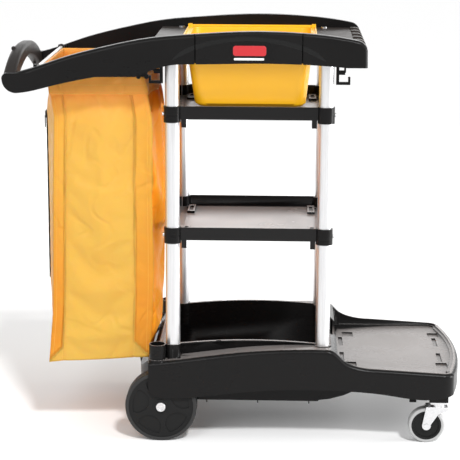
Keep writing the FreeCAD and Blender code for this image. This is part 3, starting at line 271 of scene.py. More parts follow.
def vinyl_colour(s, rest, seam, at_end):
    """Panels of single and doubled cloth in their own tones, clouded, and darker along the seams. The hem and
    the cloth just below it are painted lighter and more orange against the rail's shadow, and the end wall
    towards the posts is painted a glowing orange for light shining through the cloth.
    """
    tone_of = {name: tinted(COLOUR_OF["bag_vinyl"], tint) for name, tint in TONES.items()}
    parts = s.add("SeparateXYZ", Vector=rest).outputs
    strip = s.mix(s.ramp(parts["Y"], 0.12, 0.6), tone_of["strip_low"], tone_of["strip_high"])
    tone = s.mix(s.ramp(parts["Z"], 0.4, 0.6), tone_of["single"], strip)
    # Painted light: the top band of the cloth takes the hem's tone, against the rail's shadow.
    tone = s.mix(s.ramp(parts["Y"], 0.68, 0.8), tone, tone_of["hem"])
    # The end wall towards the posts gets its painted glow.
    tone = s.mix(at_end, tone, tone_of["end_wall"])
    cloud = s.add("TexNoise", Vector=rest, Scale=4.0, Detail=5.0).outputs["Fac"]
    tone = s.mix(s.math("MULTIPLY", s.ramp(cloud, 0.3, 0.7), 0.16), tone, tone_of["strip_low"])
    return s.mix(s.math("MULTIPLY", seam, 0.17), tone, tone_of["seam"])


def vinyl(slot):
    """Coated bag cloth: the weave shows through the coating, seams press in, and creases wander over it."""
    s = Shader(slot)
    rest = s.add("Attribute", {"attribute_name": "rest"}).outputs["Vector"]
    seam = s.add("Attribute", {"attribute_name": "seam"}).outputs["Fac"]
    at_end = s.ramp(s.add("SeparateXYZ", Vector=rest).outputs["Z"], 1.1, 1.7)
    across, along = (s.bands(rest, way, 160.0, Distortion=0.4) for way in "XY")
    weave = s.math("MULTIPLY", across, along)
    crinkle = s.add("TexNoise", Vector=rest, Scale=38.0, Detail=6.0, Distortion=1.2).outputs["Fac"]
    wander = s.add("TexNoise", Vector=rest, Scale=7.0, Detail=1.0, Distortion=0.6).outputs["Fac"]
    crease = s.ramp(s.math("ABSOLUTE", s.math("SUBTRACT", wander, 0.5)), 0.0, 0.07)
    height = s.math("ADD", s.math("MULTIPLY", weave, 0.06), s.math("MULTIPLY", crinkle, 0.6))
    height = s.math("ADD", height, s.math("MULTIPLY", crease, 1.6))
    height = s.math("SUBTRACT", height, s.math("MULTIPLY", seam, 0.5))
    s.put(Base_Color=vinyl_colour(s, rest, seam, at_end), Normal=s.bump(height, 0.001))
    s.put(Roughness=s.math("ADD", s.ramp(crinkle, 0.3, 0.7, 0.38, 0.54), s.math("MULTIPLY", seam, 0.1)))
    s.put(Specular_IOR_Level=s.ramp(at_end, 0.0, 1.0, 0.16, 0.08))
    s.put(Subsurface_Weight=0.5, Subsurface_Radius=(0.01, 0.004, 0.001), Subsurface_Scale=1.0)
    return s.material


def thread(name, colour):
    """Twisted sewing thread."""
    s = Shader(name)
    twist = s.bands(s.place(), "DIAGONAL", 900.0)
    s.put(Base_Color=s.mix(twist, rgba(colour, 0.7), rgba(colour, 1.1)), Roughness=0.62)
    s.put(Normal=s.bump(twist, 0.0002))
    return s.material


def painted_groove_shade(name):
    """Painted shade for a groove's floor: near-black and polished, with fine wiping marks."""
    s = Shader(name)
    cloud = s.noise(12.0, 4.0)
    s.put(Base_Color=s.mix(cloud, (0.002, 0.002, 0.002, 1.0), (0.005, 0.005, 0.005, 1.0)))
    s.put(Roughness=s.ramp(s.noise(220.0, 5.0, stretch=(0.1, 1.0, 1.0)), 0.3, 0.75, 0.12, 0.24))
    s.put(Specular_IOR_Level=0.3, Normal=s.bump(cloud, 0.0001))
    return s.material


def make_materials():
    """The finish of every material slot."""
    return {
        "base_plastic": moulded_plastic("base_plastic", 0.24, grain=0.00005, gloss=0.14, painted_sheen=0.6),
        "frame_plastic": moulded_plastic("frame_plastic", 0.28, grain=0.00006),
        "panel_plastic": moulded_plastic("panel_plastic", 0.24, grain=0.00005),
        "shelf_plastic": moulded_plastic("shelf_plastic", 0.2, grain=0.00004, gloss=0.2, painted_sheen=0.8),
        "deck_plastic": moulded_plastic("deck_plastic", 0.36, grain=0.00012, grain_scale=700.0, depth=0.55),
        "grip_plastic": moulded_plastic("grip_plastic", 0.4, grain=0.0001, depth=0.35),
        "wheel_plastic": moulded_plastic("wheel_plastic", 0.34, depth=0.4),
        "bush_plastic": moulded_plastic("bush_plastic", 0.45, depth=1.0),
        "badge_red": coloured_plastic("badge_red", 0.34, 0.05, (0.68, 0.45, 0.5), 900.0),
        "strip_light": coloured_plastic("strip_light", 0.3, 0.4),
        "bin_yellow": coloured_plastic("bin_yellow", 0.36, 0.05, tint=(1.1, 0.9, 0.25)),
        "post_aluminium": drawn_metal("post_aluminium", 0.33, (1.0, 1.0, 0.02), depth=0.86),
        "zinc_steel": drawn_metal("zinc_steel", 0.24, (1.0, 1.0, 1.0)),
        "rod_steel": drawn_metal("rod_steel", 0.3, (1.0, 0.03, 1.0)),
        "zip_metal": drawn_metal("zip_metal", 0.3, (1.0, 1.0, 0.2)),
        "tread_black": rubber("tread_black"),
        "tyre_grey": rubber("tyre_grey", 0.5),
        "zip_black": woven("zip_black", 0.004, 0.7, 0.0004),
        "bag_vinyl": vinyl("bag_vinyl"),
    }


MATERIALS = make_materials()
# Painted shade: near-black glossy sheets laid on the groove floors of panels and rails.
GROOVE_SHADE = painted_groove_shade("arch_groove_shade")
THREAD = thread("bag_thread", [1.25 * c for c in COLOUR_OF["bag_vinyl"][:3]])


# ---------------------------------------------------------------- meshes made from the CAD's own surfaces

EDGE_ANGLE = 0.5                 # edges sharper than this many radians get rounded
SHARP_ANGLE = math.radians(35.0)
ROUNDED = {                      # radius that softens each moulding's outer edges
    "side_rail_near": 0.0012, "side_rail_far": 0.0012,
    "center_panel_near": 0.0006, "center_panel_far": 0.0006,
    "end_cap": 0.0015, "top_deck": 0.001, "lower_shelf": 0.001, "upper_shelf": 0.001, "base_deck": 0.001,
    "tool_clips": 0.0008, "zip_slider": 0.0006,
}
GROOVE_SHADE_REACH = 0.0035             # deepest a groove's floor lies below the panel's face
GROOVE_SHADE_LEAST = 0.0002             # and shallowest
GROOVE_SHADE_LIFT = 0.00015


def dress(obj, slot):
    obj.data.materials.clear()
    obj.data.materials.append(MATERIALS[slot])


def mesh_from(name, points, faces):
    mesh = bpy.data.meshes.new(name)
    mesh.from_pydata([tuple(p) for p in points], [], faces)
    return mesh


def new_object(name, data):
    obj = bpy.data.objects.new(name, data)
    bpy.context.scene.collection.objects.link(obj)
    return obj


def make_piece(obj, slot, body):
    """Gives an object its finish and the body that it moves with."""
    dress(obj, slot)
    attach(obj, body)
    return obj


def new_piece(name, mesh, slot, body):
    return make_piece(new_object(name, mesh), slot, body)


def outward_edges(bm):
    return [edge for edge in bm.edges
            if len(edge.link_faces) == 2 and edge.is_convex and edge.calc_face_angle(0.0) > EDGE_ANGLE]


def softened(node, radius):
    """A copy of a CAD node's surface with its outer edges rounded in geometry."""
    bm = bmesh.new()
    bm.from_mesh(NODES[node].data)
    bmesh.ops.remove_doubles(bm, verts=bm.verts, dist=WELD)
    bmesh.ops.dissolve_limit(bm, angle_limit=math.radians(0.6), verts=bm.verts, edges=bm.edges)
    bm.normal_update()
    bmesh.ops.bevel(bm, geom=outward_edges(bm), offset=radius, segments=2, profile=0.5, affect="EDGES",
                    clamp_overlap=True)
    bmesh.ops.triangulate(bm, faces=[f for f in bm.faces if len(f.verts) > 4])
    mesh = bpy.data.meshes.new(node + "_looks")
    bm.to_mesh(mesh)
    bm.free()
    shade(mesh)
    obj = new_piece(node + "_looks", mesh, SLOT_OF[node], BODY_OF[node])
    even_shading(obj)
    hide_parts(node)


def even_shading(obj):
    """Large faces set the shading, so that flat areas stay flat beside rounded edges."""
    normals = obj.modifiers.new("normals", "WEIGHTED_NORMAL")
    normals.keep_sharp = True


def groove_shade_sheet(name, node):
    """Thin near-black glossy sheet on the floor of the groove in a rail or panel's outer side: painted shade
    for the dark recess.
    """
    source = NODES[node].data
    side = 1 if sum(corner.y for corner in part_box(node)) > 0 else -1
    outer = max(side * v.co.y for v in source.vertices)
    points, faces = [], []
    for face in source.polygons:
        depth = outer - side * face.center.y
        flat = side * face.normal.y > 0.9 and abs(face.normal.z) < 0.02
        if flat and GROOVE_SHADE_LEAST < depth < GROOVE_SHADE_REACH:
            faces.append(tuple(range(len(points), len(points) + len(face.vertices))))
            points += [source.vertices[i].co + Vector((0, side * GROOVE_SHADE_LIFT, 0)) for i in face.vertices]
    obj = new_piece(name, mesh_from(name, points, faces), SLOT_OF[node], BODY_OF[node])
    obj.data.materials[0] = GROOVE_SHADE


def shade(mesh):
    """Smooth shading with sharp edges kept sharp."""
    mesh.shade_smooth()
    mesh.set_sharp_from_angle(angle=SHARP_ANGLE)


def dress_cad(node):
    """CAD surface shown as packed: the procedural finish and a weld so that its shading is smooth."""
    obj = NODES[node]
    dress(obj, SLOT_OF[node])
    weld = obj.modifiers.new("weld", "WELD")
    weld.merge_threshold = WELD
    even_shading(obj)


for node_name in NODES:
    dress_cad(node_name)
for node_name, edge_radius in ROUNDED.items():
    softened(node_name, edge_radius)
# Painted shade on the floors of the arch groove and the swoosh groove, near and far.
for side_name in ("near", "far"):
    groove_shade_sheet("arch_groove_shade_" + side_name, "center_panel_" + side_name)
    groove_shade_sheet("swoosh_groove_shade_" + side_name, "side_rail_" + side_name)


# ---------------------------------------------------------------- bag cloth

def islands(node):
    """(lowest corner, highest corner) of each separate piece of a CAD node, from the handle end on."""
    bm = bmesh.new()
    bm.from_mesh(NODES[node].data)
    bmesh.ops.remove_doubles(bm, verts=bm.verts, dist=WELD)
    seen = set()
    boxes = []
    for start in bm.verts:
        if start in seen:
            continue
        seen.add(start)
        stack = [start]
        low, high = start.co.copy(), start.co.copy()
        while stack:
            vert = stack.pop()
            low = Vector(map(min, low, vert.co))
            high = Vector(map(max, high, vert.co))
            fresh = [edge.other_vert(vert) for edge in vert.link_edges if edge.other_vert(vert) not in seen]
            seen.update(fresh)
            stack += fresh
        boxes.append((low, high))
    bm.free()
    return sorted(boxes, key=lambda pair: (round(pair[0].x, 3), pair[0].y))


RODS = [((low + high) / 2, (high.z - low.z) / 2) for low, high in islands("bag_rods")]
ROD_R = RODS[0][1]
HEM_TOP = RODS[0][0].z
BAG_LOW, BAG_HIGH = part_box("bag")
CLOTH_THICK = 0.0016
CLOTH_FRAMES = 60                # length of the bag's simulation
LOOP_SPAN = 0.02                 # below the hem's edge, where the CAD bag is clear of its loops
STRIPS = (0.042, 0.050)          # widths of the folded strips at the bag's handle and post corners
TUCK = 0.055                     # height of the folded corner at the foot of a strip
WELT = 0.014                     # from a corner to the seam that runs along it
END_BULGE = 0.03                 # how far the end wall towards the posts is blown out at the hem
TAPE_FLAT = 1.1                  # the zipper's side runs straight to the tape and is flat behind it
CORNER_SET_IN = 0.010            # how far the zipper's side stands proud of the near corner
CORNER_REACH = 0.05              # how far along the near face that corner is drawn in
PANEL_FOLD = 0.0016              # depth of the fold beside a strip
PANEL_CREASE = 0.0022            # height of the crease down the middle of a broad face
TUCK_FOLD = 0.0034               # depth of the tucked corner
SLACK = 0.0022                   # how uneven the cloth is before it hangs
RIPPLE = {1: 0.004, 3: 0.001}    # height of the end walls' ripples
HEM = 0.083
HEM_PLY = 0.0011
HEM_GAP = 0.0013                 # between the cloth and the hem's plies
STITCH_ROWS = (0.056, 0.080)     # below the hem's edge
STITCH_REACH = 0.005             # how far a seam draws the cloth in beside it
HEM_STITCH_LIFT = 0.0021         # from the bag's cloth to the face of the hem's outer ply
CELL = 0.0105                    # the cloth grid's pitch
HEM_REST = 0.8                   # unfolded height where the hem's own cloth begins


class BagShape:
    """Outline of the CAD bag at any height, read off its surface."""

    def __init__(self):
        bm = bmesh.new()
        bm.from_mesh(NODES["bag"].data)
        self.edges = [(edge.verts[0].co.copy(), edge.verts[1].co.copy()) for edge in bm.edges]
        bm.free()
        self.clear_top = HEM_TOP - LOOP_SPAN
        self.cache = {}
        floor_points = [a for a, b in self.edges if a.z < BAG_LOW.z + 0.03]
        self.foot = {}
        for sx in (-1, 1):
            for sy in (-1, 1):
                self.foot[sx, sy] = max(floor_points, key=lambda p: sx * p.x + sy * p.y - p.z).copy()

    def cut(self, z):
        """Outermost points of the outline at height z, by the signs of their direction."""
        key = round(z, 5)
        if key not in self.cache:
            points = [a.lerp(b, (z - a.z) / (b.z - a.z)) for a, b in self.edges if (a.z - z) * (b.z - z) < 0]
            self.cache[key] = {(sx, sy): max(points, key=lambda p: sx * p.x + sy * p.y)
                               for sx in (-1, 0, 1) for sy in (-1, 0, 1) if sx or sy}
        return self.cache[key]

    def at(self, sx, sy, z):
        """Outermost point towards a corner (both signs set) or the middle of a side (one is 0)."""
        if z <= self.clear_top:
            point = self.cut(z)[sx, sy].copy()
        else:
            below = self.clear_top - 0.05
            a, b = self.cut(below)[sx, sy], self.cut(self.clear_top)[sx, sy]
            point = a.lerp(b, (z - below) / (self.clear_top - below))
        point.z = z
        return point

    def corner(self, sx, sy, share):
        foot = self.foot[sx, sy]
        if share < 0.001:
            return foot.copy()
        return self.at(sx, sy, foot.z + (HEM_TOP - foot.z) * share)


# Near broad face, wall towards the posts, far broad face, wall with the zipper: each from corner to corner.
FACES = (((-1, -1), (1, -1)), ((1, -1), (1, 1)), ((1, 1), (-1, 1)), ((-1, 1), (-1, -1)))
BROAD = (0, 2)
POST_WALL = 1
ZIP_WALL = 3


class BagGrid:
    """Columns run round the bag from its near handle corner, rows run from the bottom to the hem."""

    def __init__(self):
        self.shape = BagShape()
        self.width = (BAG_HIGH.x - BAG_LOW.x) * 0.9
        self.height = HEM_TOP - BAG_LOW.z
        self.across = round(self.width / CELL / 2) * 2
        self.deep = round((BAG_HIGH.y - BAG_LOW.y) / CELL / 2) * 2
        self.counts = (self.across, self.deep, self.across, self.deep)
        self.corners = [sum(self.counts[:face]) for face in range(4)]
        self.columns = sum(self.counts)
        self.rows = round(self.height / CELL)

    def face_of(self, column):
        """Which face a column is on, and its share of the way across it."""
        column %= self.columns
        for face, count in enumerate(self.counts):
            if column < count:
                return face, column / count
            column -= count

    def start_point(self, column, row):
        """Where a cloth point starts: on the CAD bag's surface, with its fold lines pressed in."""
        face, t = self.face_of(column)
        a_sign, b_sign = FACES[face]
        share = row / self.rows
        a = self.shape.corner(*a_sign, share)
        b = self.shape.corner(*b_sign, share)
        point = a.lerp(b, t)
        out_sign = ((a_sign[0] + b_sign[0]) / 2, (a_sign[1] + b_sign[1]) / 2)
        outward = Vector((out_sign[0], out_sign[1], 0.0))
        middle_z = max((a.z + b.z) / 2, max(a.z, b.z) + 0.001 if share < 0.02 else 0.0)
        crest = self.shape.at(round(out_sign[0]), round(out_sign[1]), middle_z)
        bulge = max(0.0, (crest - (a + b) / 2).dot(outward))
        if face == POST_WALL:
            bulge += END_BULGE * share ** 2
        crown = min(1.0, TAPE_FLAT * (1 - abs(2 * t - 1))) if face == ZIP_WALL else 4 * t * (1 - t)
        point += outward * bulge * crown * min(1.0, share * 12)
        point.x += CORNER_SET_IN * self.near_corner(face, t) * min(1.0, share * 6, (1 - share) * 6)
        return point + outward * self.folds(face, t, share, (b - a).length)

    def near_corner(self, face, t):
        """1 at the near corner beside the zipper, falling to 0 along both faces."""
        if face == ZIP_WALL:
            return max(0.0, 2 * t - 1)
        return math.exp(-(t * self.across * CELL / CORNER_REACH) ** 2) if face == 0 else 0.0

    def folds(self, face, t, share, width):
        """Outward offset of a broad face's strips, centre crease and tucks, or of an end's ripples."""
        height = (1 - share) * self.height
        ends = min(1.0, share * 8, (1 - share) * 10)
        if face in BROAD:
            side = min(t, 1 - t) * width
            strip = self.strip_at(face, t)
            offset = -PANEL_FOLD * math.exp(-((side - strip) / 0.006) ** 2) * ends
            offset += PANEL_CREASE * math.exp(-((t - 0.52) * width / 0.01) ** 2) * ends
            up = share * self.height
            tuck = side - strip * min(1.0, up / 0.11)
            pressed = math.exp(-(tuck / 0.008) ** 2)
            offset -= TUCK_FOLD * pressed * (1 - min(1.0, up / 0.15)) * min(1.0, up / 0.03)
        else:
            wander = 0.03 * noise.noise(Vector((face * 3.1, 0.0, height * 5.0)))
            offset = RIPPLE[face] * math.cos((t + wander) * 3 * math.tau) * math.sin(math.pi * share) ** 0.7
        where = Vector((t * width * 7.0 + face * 11.0, 3.0, height * 4.0))
        return offset + SLACK * noise.noise(where) * ends

    def strip_at(self, face, t):
        """Width of the nearest folded strip on a broad face."""
        return STRIPS[int((t > 0.5) == (face == 0))]

    def index(self, column, row):
        return row * self.columns + column % self.columns

    def creases(self, mesh):
        """1 on the edges that run down the bag's corners and round its foot, 0 elsewhere."""
        count = self.columns * (self.rows + 1)
        sharp = []
        for edge in mesh.edges:
            a, b = edge.vertices
            on_wall = a < count and b < count
            on_corner = on_wall and a % self.columns == b % self.columns in self.corners
            on_foot = a < self.columns and b < self.columns
            sharp.append(float(on_corner or on_foot))
        return sharp

    def seam_share(self, column, row):
        """1 on a sewn seam or hem stitch row, 0 away from it."""
        face, t = self.face_of(column)
        down = (1 - row / self.rows) * self.height
        near = min(abs(down - line) for line in STITCH_ROWS)
        if face in BROAD:
            side = min(t, 1 - t) * self.width
            near = min(near, abs(side - self.strip_at(face, t)), abs(side - WELT))
        return math.exp(-(near / STITCH_REACH) ** 2)

    def hold_share(self, point, column, row):
        """How firmly a point keeps its place: the hem hangs on the rods, the zipper is stiff."""
        if row >= self.rows - 1:
            return 1.0
        tape_low, tape_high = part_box("zip_tape")
        reach = tape_high.y + 0.006
        on_tape = tape_low.z - 0.02 < point.z < tape_high.z + 0.02 and point.x < BAG_LOW.x + 0.02
        if on_tape and abs(point.y) < reach:
            return 1.0
        if row == 0:
            return 0.8
        face, t = self.face_of(column)
        corner = min(t, 1 - t) * self.counts[face] < 0.6
        firm = 0.3 if corner or face == ZIP_WALL else 0.06
        return firm + 0.45 * self.near_corner(face, t) + 0.2 * max(0.0, 1 - row / 6)

    def build(self):
        """Points and faces before hanging, with each point's rest place, seam share and hold."""
        cells = [(c, r) for r in range(self.rows + 1) for c in range(self.columns)]
        points = [self.start_point(c, r) for c, r in cells]
        faces = [(self.index(c, r), self.index(c + 1, r), self.index(c + 1, r + 1), self.index(c, r + 1))
                 for r in range(self.rows) for c in range(self.columns)]
        rest = [(c * CELL, r * CELL, self.layer(c, r)) for c, r in cells]
        seam = [self.seam_share(c, r) for c, r in cells]
        hold = [self.hold_share(points[self.index(c, r)], c, r) for c, r in cells]
        self.floor(points, faces, rest, seam, hold)
        return points, faces, rest, seam, hold

    def layer(self, column, row):
        """Which kind of cloth a point is on: the strips are folded double down to their tucked corners."""
        face, t = self.face_of(column)
        if face == POST_WALL and t > 0:
            return END_WALL
        side = min(t, 1 - t) * self.across * CELL
        strip = self.strip_at(face, t)
        folded = side < strip and row * CELL > TUCK * side / strip
        return SINGLE if face in BROAD and not folded else DOUBLED

    def floor(self, points, faces, rest, seam, hold):
        """Bottom panel, sewn to row 0."""
        near = list(range(self.across + 1))
        far = [self.corners[3] - i for i in range(self.across + 1)]
        post_side = [self.corners[1] + j for j in range(self.deep + 1)]
        handle_side = [(self.columns - j) % self.columns for j in range(self.deep + 1)]
        lattice = {}
        for i in range(self.across + 1):
            for j in range(self.deep + 1):
                if j == 0:
                    lattice[i, j] = near[i]
                elif j == self.deep:
                    lattice[i, j] = far[i]
                elif i == 0:
                    lattice[i, j] = handle_side[j]
                elif i == self.across:
                    lattice[i, j] = post_side[j]
                else:
                    s, u = i / self.across, j / self.deep
                    point = points[near[i]].lerp(points[far[i]], u)
                    ends = points[handle_side[j]].lerp(points[post_side[j]], s)
                    point.z = ends.z - 0.004 * math.sin(math.pi * s) * math.sin(math.pi * u)
                    lattice[i, j] = len(points)
                    points.append(point)
                    rest.append((i * CELL, -j * CELL, DOUBLED))
                    seam.append(0.0)
                    hold.append(0.3)
        for i in range(self.across):
            for j in range(self.deep):
                faces.append((lattice[i, j], lattice[i, j + 1], lattice[i + 1, j + 1], lattice[i + 1, j]))


def hang_cloth(obj, hold, seam):
    """Lets the bag hang and crinkle under its own weight, then freezes it. Seams draw the cloth in."""
    for name, weights in (("hold", hold), ("gather", seam)):
        group = obj.vertex_groups.new(name=name)
        for index, weight in enumerate(weights):
            group.add([index], weight, "REPLACE")
    cloth = obj.modifiers.new("cloth", "CLOTH")
    settings = cloth.settings
    settings.quality = 6
    settings.mass = 0.15
    settings.tension_stiffness = settings.compression_stiffness = 40.0
    settings.shear_stiffness = 12.0
    settings.bending_stiffness = 2.2
    settings.effector_weights.gravity = 0.35
    settings.tension_damping = settings.compression_damping = 8.0
    settings.air_damping = 2.0
    settings.vertex_group_mass = "hold"
    settings.vertex_group_shrink = "gather"
    settings.shrink_min = -0.016
    settings.shrink_max = 0.028
    settings.use_pressure = True
    settings.uniform_pressure_force = 0.12
    cloth.collision_settings.use_collision = False
    cloth.point_cache.frame_start = 1
    cloth.point_cache.frame_end = CLOTH_FRAMES
    scene = bpy.context.scene
    for step in range(1, CLOTH_FRAMES + 1):
        scene.frame_set(step)
    graph = bpy.context.evaluated_depsgraph_get()
    settled = bpy.data.meshes.new_from_object(obj.evaluated_get(graph))
    obj.modifiers.clear()
    obj.vertex_groups.clear()
    obj.data = settled
    scene.frame_set(1)


def cloth_mesh(name, points, faces, rest, seam):
    """A mesh with the attributes that the cloth's finish reads."""
    mesh = mesh_from(name, points, faces)
    flat = [value for place in rest for value in place]
    mesh.attributes.new("rest", "FLOAT_VECTOR", "POINT").data.foreach_set("vector", flat)
    mesh.attributes.new("seam", "FLOAT", "POINT").data.foreach_set("value", seam)
    return mesh


def cloth_bag():
    """The bag's shell as simulated cloth. Gives its grid and where its points settled."""
    grid = BagGrid()
    points, faces, rest, seam, hold = grid.build()
    mesh = cloth_mesh("bag_cloth", points, faces, rest, seam)
    mesh.attributes.new("crease_edge", "FLOAT", "EDGE").data.foreach_set("value", grid.creases(mesh))
    obj = new_object("bag_cloth", mesh)
    hang_cloth(obj, hold, seam)
    settled = [v.co.copy() for v in obj.data.vertices]
    obj.data.shade_smooth()
    make_piece(obj, "bag_vinyl", "bag")
    finer = obj.modifiers.new("finer", "SUBSURF")
    finer.levels = finer.render_levels = 1
    thick = obj.modifiers.new("thick", "SOLIDIFY")
    thick.thickness = CLOTH_THICK
    thick.offset = -1.0
    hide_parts("bag")
    return grid, settled


class Surface:
    """Looks up points and outward normals on the settled cloth by column and height below the hem."""

    def __init__(self, grid, settled):
        self.grid = grid
        self.settled = settled

    def point(self, column, row):
        c, r = math.floor(column), min(math.floor(row), self.grid.rows - 1)
        s, u = column - c, row - r
        corner = [self.settled[self.grid.index(c + i, r + j)] for j in (0, 1) for i in (0, 1)]
        return corner[0].lerp(corner[1], s).lerp(corner[2].lerp(corner[3], s), u)

    def normal(self, column, row):
        row = min(max(row, 0.3), self.grid.rows - 0.3)
        along = self.point(column + 0.3, row) - self.point(column - 0.3, row)
        up = self.point(column, row + 0.3) - self.point(column, row - 0.3)
        return along.cross(up).normalized()

    def row_at(self, below_hem):
        return self.grid.rows * (1 - below_hem / self.grid.height)

    def track(self, cells, lift):
        """(point, outward normal) of each cell, lifted off the cloth."""
        return [(self.point(c, r) + self.normal(c, r) * lift, self.normal(c, r)) for c, r in cells]


def strip_mesh(rows, closed=False):
    """Quad mesh through equal rows of points; closed joins the ends of each row."""
    width = len(rows[0])
    faces = []
    for r in range(len(rows) - 1):
        for c in range(width if closed else width - 1):
            d = (c + 1) % width
            faces.append((r * width + c, r * width + d, (r + 1) * width + d, (r + 1) * width + c))
    return [p for row in rows for p in row], faces


def cloth_piece(name, points, faces, thick, slot="bag_vinyl", rest=None, smooth_levels=1):
    """A strip of cloth or tape with thickness, riding on the bag."""
    rest = rest or [(p.x + p.y, p.z, DOUBLED) for p in points]
    mesh = cloth_mesh(name, points, faces, rest, [0.0] * len(points))
    mesh.shade_smooth()
    obj = new_piece(name, mesh, slot, "bag")
    if smooth_levels:
        finer = obj.modifiers.new("finer", "SUBSURF")
        finer.levels = finer.render_levels = smooth_levels
    solid = obj.modifiers.new("thick", "SOLIDIFY")
    solid.thickness = thick
    solid.offset = 0.0
    return obj


def hem_band(surface):
    """The hem: the cloth turned over its top edge and sewn down as a doubled band."""
    grid = surface.grid
    rows = []
    steps = round(HEM / CELL) + 1
    for k in range(steps):
        row = surface.row_at(HEM * (1 - k / (steps - 1)))
        rows.append([surface.point(c, row) + surface.normal(c, row) * HEM_GAP for c in range(grid.columns)])
    top = grid.rows
    over = Vector((0, 0, CLOTH_THICK))
    rows.append([surface.point(c, top) + over - surface.normal(c, top) * CLOTH_THICK / 2
                 for c in range(grid.columns)])
    for k in range(steps):
        row = surface.row_at(HEM * k / (steps - 1))
        rows.append([surface.point(c, row) - surface.normal(c, row) * (CLOTH_THICK + HEM_GAP)
                     for c in range(grid.columns)])
    points, faces = strip_mesh(rows, closed=True)
    rest = [(c * CELL, HEM_REST + r * CELL, DOUBLED) for r in range(len(rows)) for c in range(grid.columns)]
    cloth_piece("bag_hem", points, faces, HEM_PLY, rest=rest, smooth_levels=0)


STRAP_HALF = 0.013               # half a rod strap's width
STRAP_DROP = 0.05                # how far below the hem's edge it is sewn on
STRAP_INSET = 0.024              # from the bag's corner to its middle
STRAP_PLY = 0.0013
STRAP_LANES = 6
STRAP_STEPS = 12


def tangent_turn(foot, centre, radius, side):
    """Angle on a circle, seen along +Y, where a line from foot touches it."""
    dx, dz = foot[0] - centre[0], foot[1] - centre[1]
    return math.atan2(dz, dx) + side * math.acos(radius / math.hypot(dx, dz))


def strap_path(centre, ring, wall, outward):
    """(x, z) points of a strap: up the wall's outside, round the rod and down inside."""
    foot_z = HEM_TOP - STRAP_DROP
    outer = (wall + outward * 0.0028, foot_z)
    inner = (wall - outward * 0.0052, foot_z)
    start = tangent_turn(outer, (centre.x, centre.z), ring, -outward)
    stop = tangent_turn(inner, (centre.x, centre.z), ring, outward)
    sweep = (stop - start) % math.tau if outward > 0 else -((start - stop) % math.tau)
    turns = [start + sweep * k / STRAP_STEPS for k in range(STRAP_STEPS + 1)]
    around = [(centre.x + ring * math.cos(turn), centre.z + ring * math.sin(turn)) for turn in turns]
    return [outer] + around + [inner]


def rod_loops(surface):
    """Four sewn straps that carry the bag on its rods."""
    shape = surface.grid.shape
    loop_y = abs(shape.cut(HEM_TOP - 0.03)[1, -1].y) - STRAP_INSET
    for (centre, radius), outward, end in zip(RODS, (-1, 1), ("handle", "post")):
        wall = shape.at(outward, 1, HEM_TOP - STRAP_DROP).x
        path = strap_path(centre, radius + 0.0016, wall, outward)
        for side, y in (("near", -loop_y), ("far", loop_y)):
            rows = []
            for k, (x, z) in enumerate(path):
                sway = 0.0006 * math.sin(k * 1.7 + y * 60)
                rows.append([Vector((x, y - STRAP_HALF + 2 * STRAP_HALF * j / STRAP_LANES + sway, z))
                             for j in range(STRAP_LANES + 1)])
            points, faces = strip_mesh(rows)
            cloth_piece("bag_loop_%s_%s" % (end, side), points, faces, STRAP_PLY)


def add_stitch(points, faces, start, end, out, radius):
    """One raised stitch: a small spindle between two points that arches out of the cloth."""
    across = (end - start).cross(out).normalized() * radius
    rise = out.normalized() * radius
    base = len(points)
    for share, size, lift in ((0.0, 0.35, -0.4), (0.25, 1.0, 0.5), (0.75, 1.0, 0.5), (1.0, 0.35, -0.4)):
        centre = start.lerp(end, share) + rise * lift
        points += [centre + across * size, centre + rise * size, centre - across * size, centre - rise * size]
    for ring in range(3):
        for k in range(4):
            a = base + ring * 4 + k
            b = base + ring * 4 + (k + 1) % 4
            faces.append((a, b, b + 4, a + 4))
    faces.append((base + 3, base + 2, base + 1, base))
    faces.append((base + 12, base + 13, base + 14, base + 15))


def sewing(name, slot, tracks, pitch, length, radius):
    """One piece that holds the stitches along every track."""
    points, faces = [], []
    for track in tracks:
        stitch_line(points, faces, track, pitch, length, radius)
    return new_piece(name, mesh_from(name, points, faces), slot, "bag")


def stitch_line(points, faces, track, pitch, length, radius):
    """Stitches at an even pitch along a track of (point, outward normal)."""
    travelled = 0.0
    due = 0.0
    for (a, out), (b, _) in zip(track, track[1:]):
        span = (b - a).length
        while due + length <= travelled + span and span > 0:
            s = (due - travelled) / span
            start, end = a.lerp(b, s), a.lerp(b, min(1.0, s + length / span))
            add_stitch(points, faces, start + out * radius, end + out * radius, out, radius)
            due += pitch
        travelled += span
        due = max(due, travelled - length)


def bag_stitching(surface):
    """Two rows round the hem and a line down each strip and welt of the broad faces."""
    grid = surface.grid
    tracks = []
    for line in STITCH_ROWS:
        row = surface.row_at(line)
        tracks.append(surface.track([(c, row) for c in range(grid.columns + 1)], HEM_STITCH_LIFT))
    hem_row = surface.row_at(HEM + 0.004)
    for handle_side, post_side in (STRIPS, (WELT, WELT)):
        inset, post_inset = handle_side / CELL - 0.35, post_side / CELL - 0.35
        far_start, far_end = grid.corners[2], grid.corners[3]
        for column in (inset, grid.across - post_inset, far_start + post_inset, far_end - inset):
            tracks.append(surface.track([(column, hem_row * k / 240) for k in range(2, 241)], 0.0002))
    obj = sewing("bag_stitching", "bag_vinyl", tracks, 0.0062, 0.0042, 0.00055)
    obj.data.shade_smooth()
    obj.data.materials[0] = THREAD


TAPE_LOW, TAPE_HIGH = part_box("zip_tape")
TAPE_X = (TAPE_LOW.x + TAPE_HIGH.x) / 2
TAPE_GAP = 0.0012                # half the gap between the tape's halves
TAPE_PLY = 0.0011
TAPE_ROWS, TAPE_LANES = 96, 4
TOOTH_PITCH = 0.0032
TOOTH_HALF = (0.0013, 0.0021, TOOTH_PITCH * 0.36)
TAPE_SEWING = 0.003              # from the tape's edge to its stitches


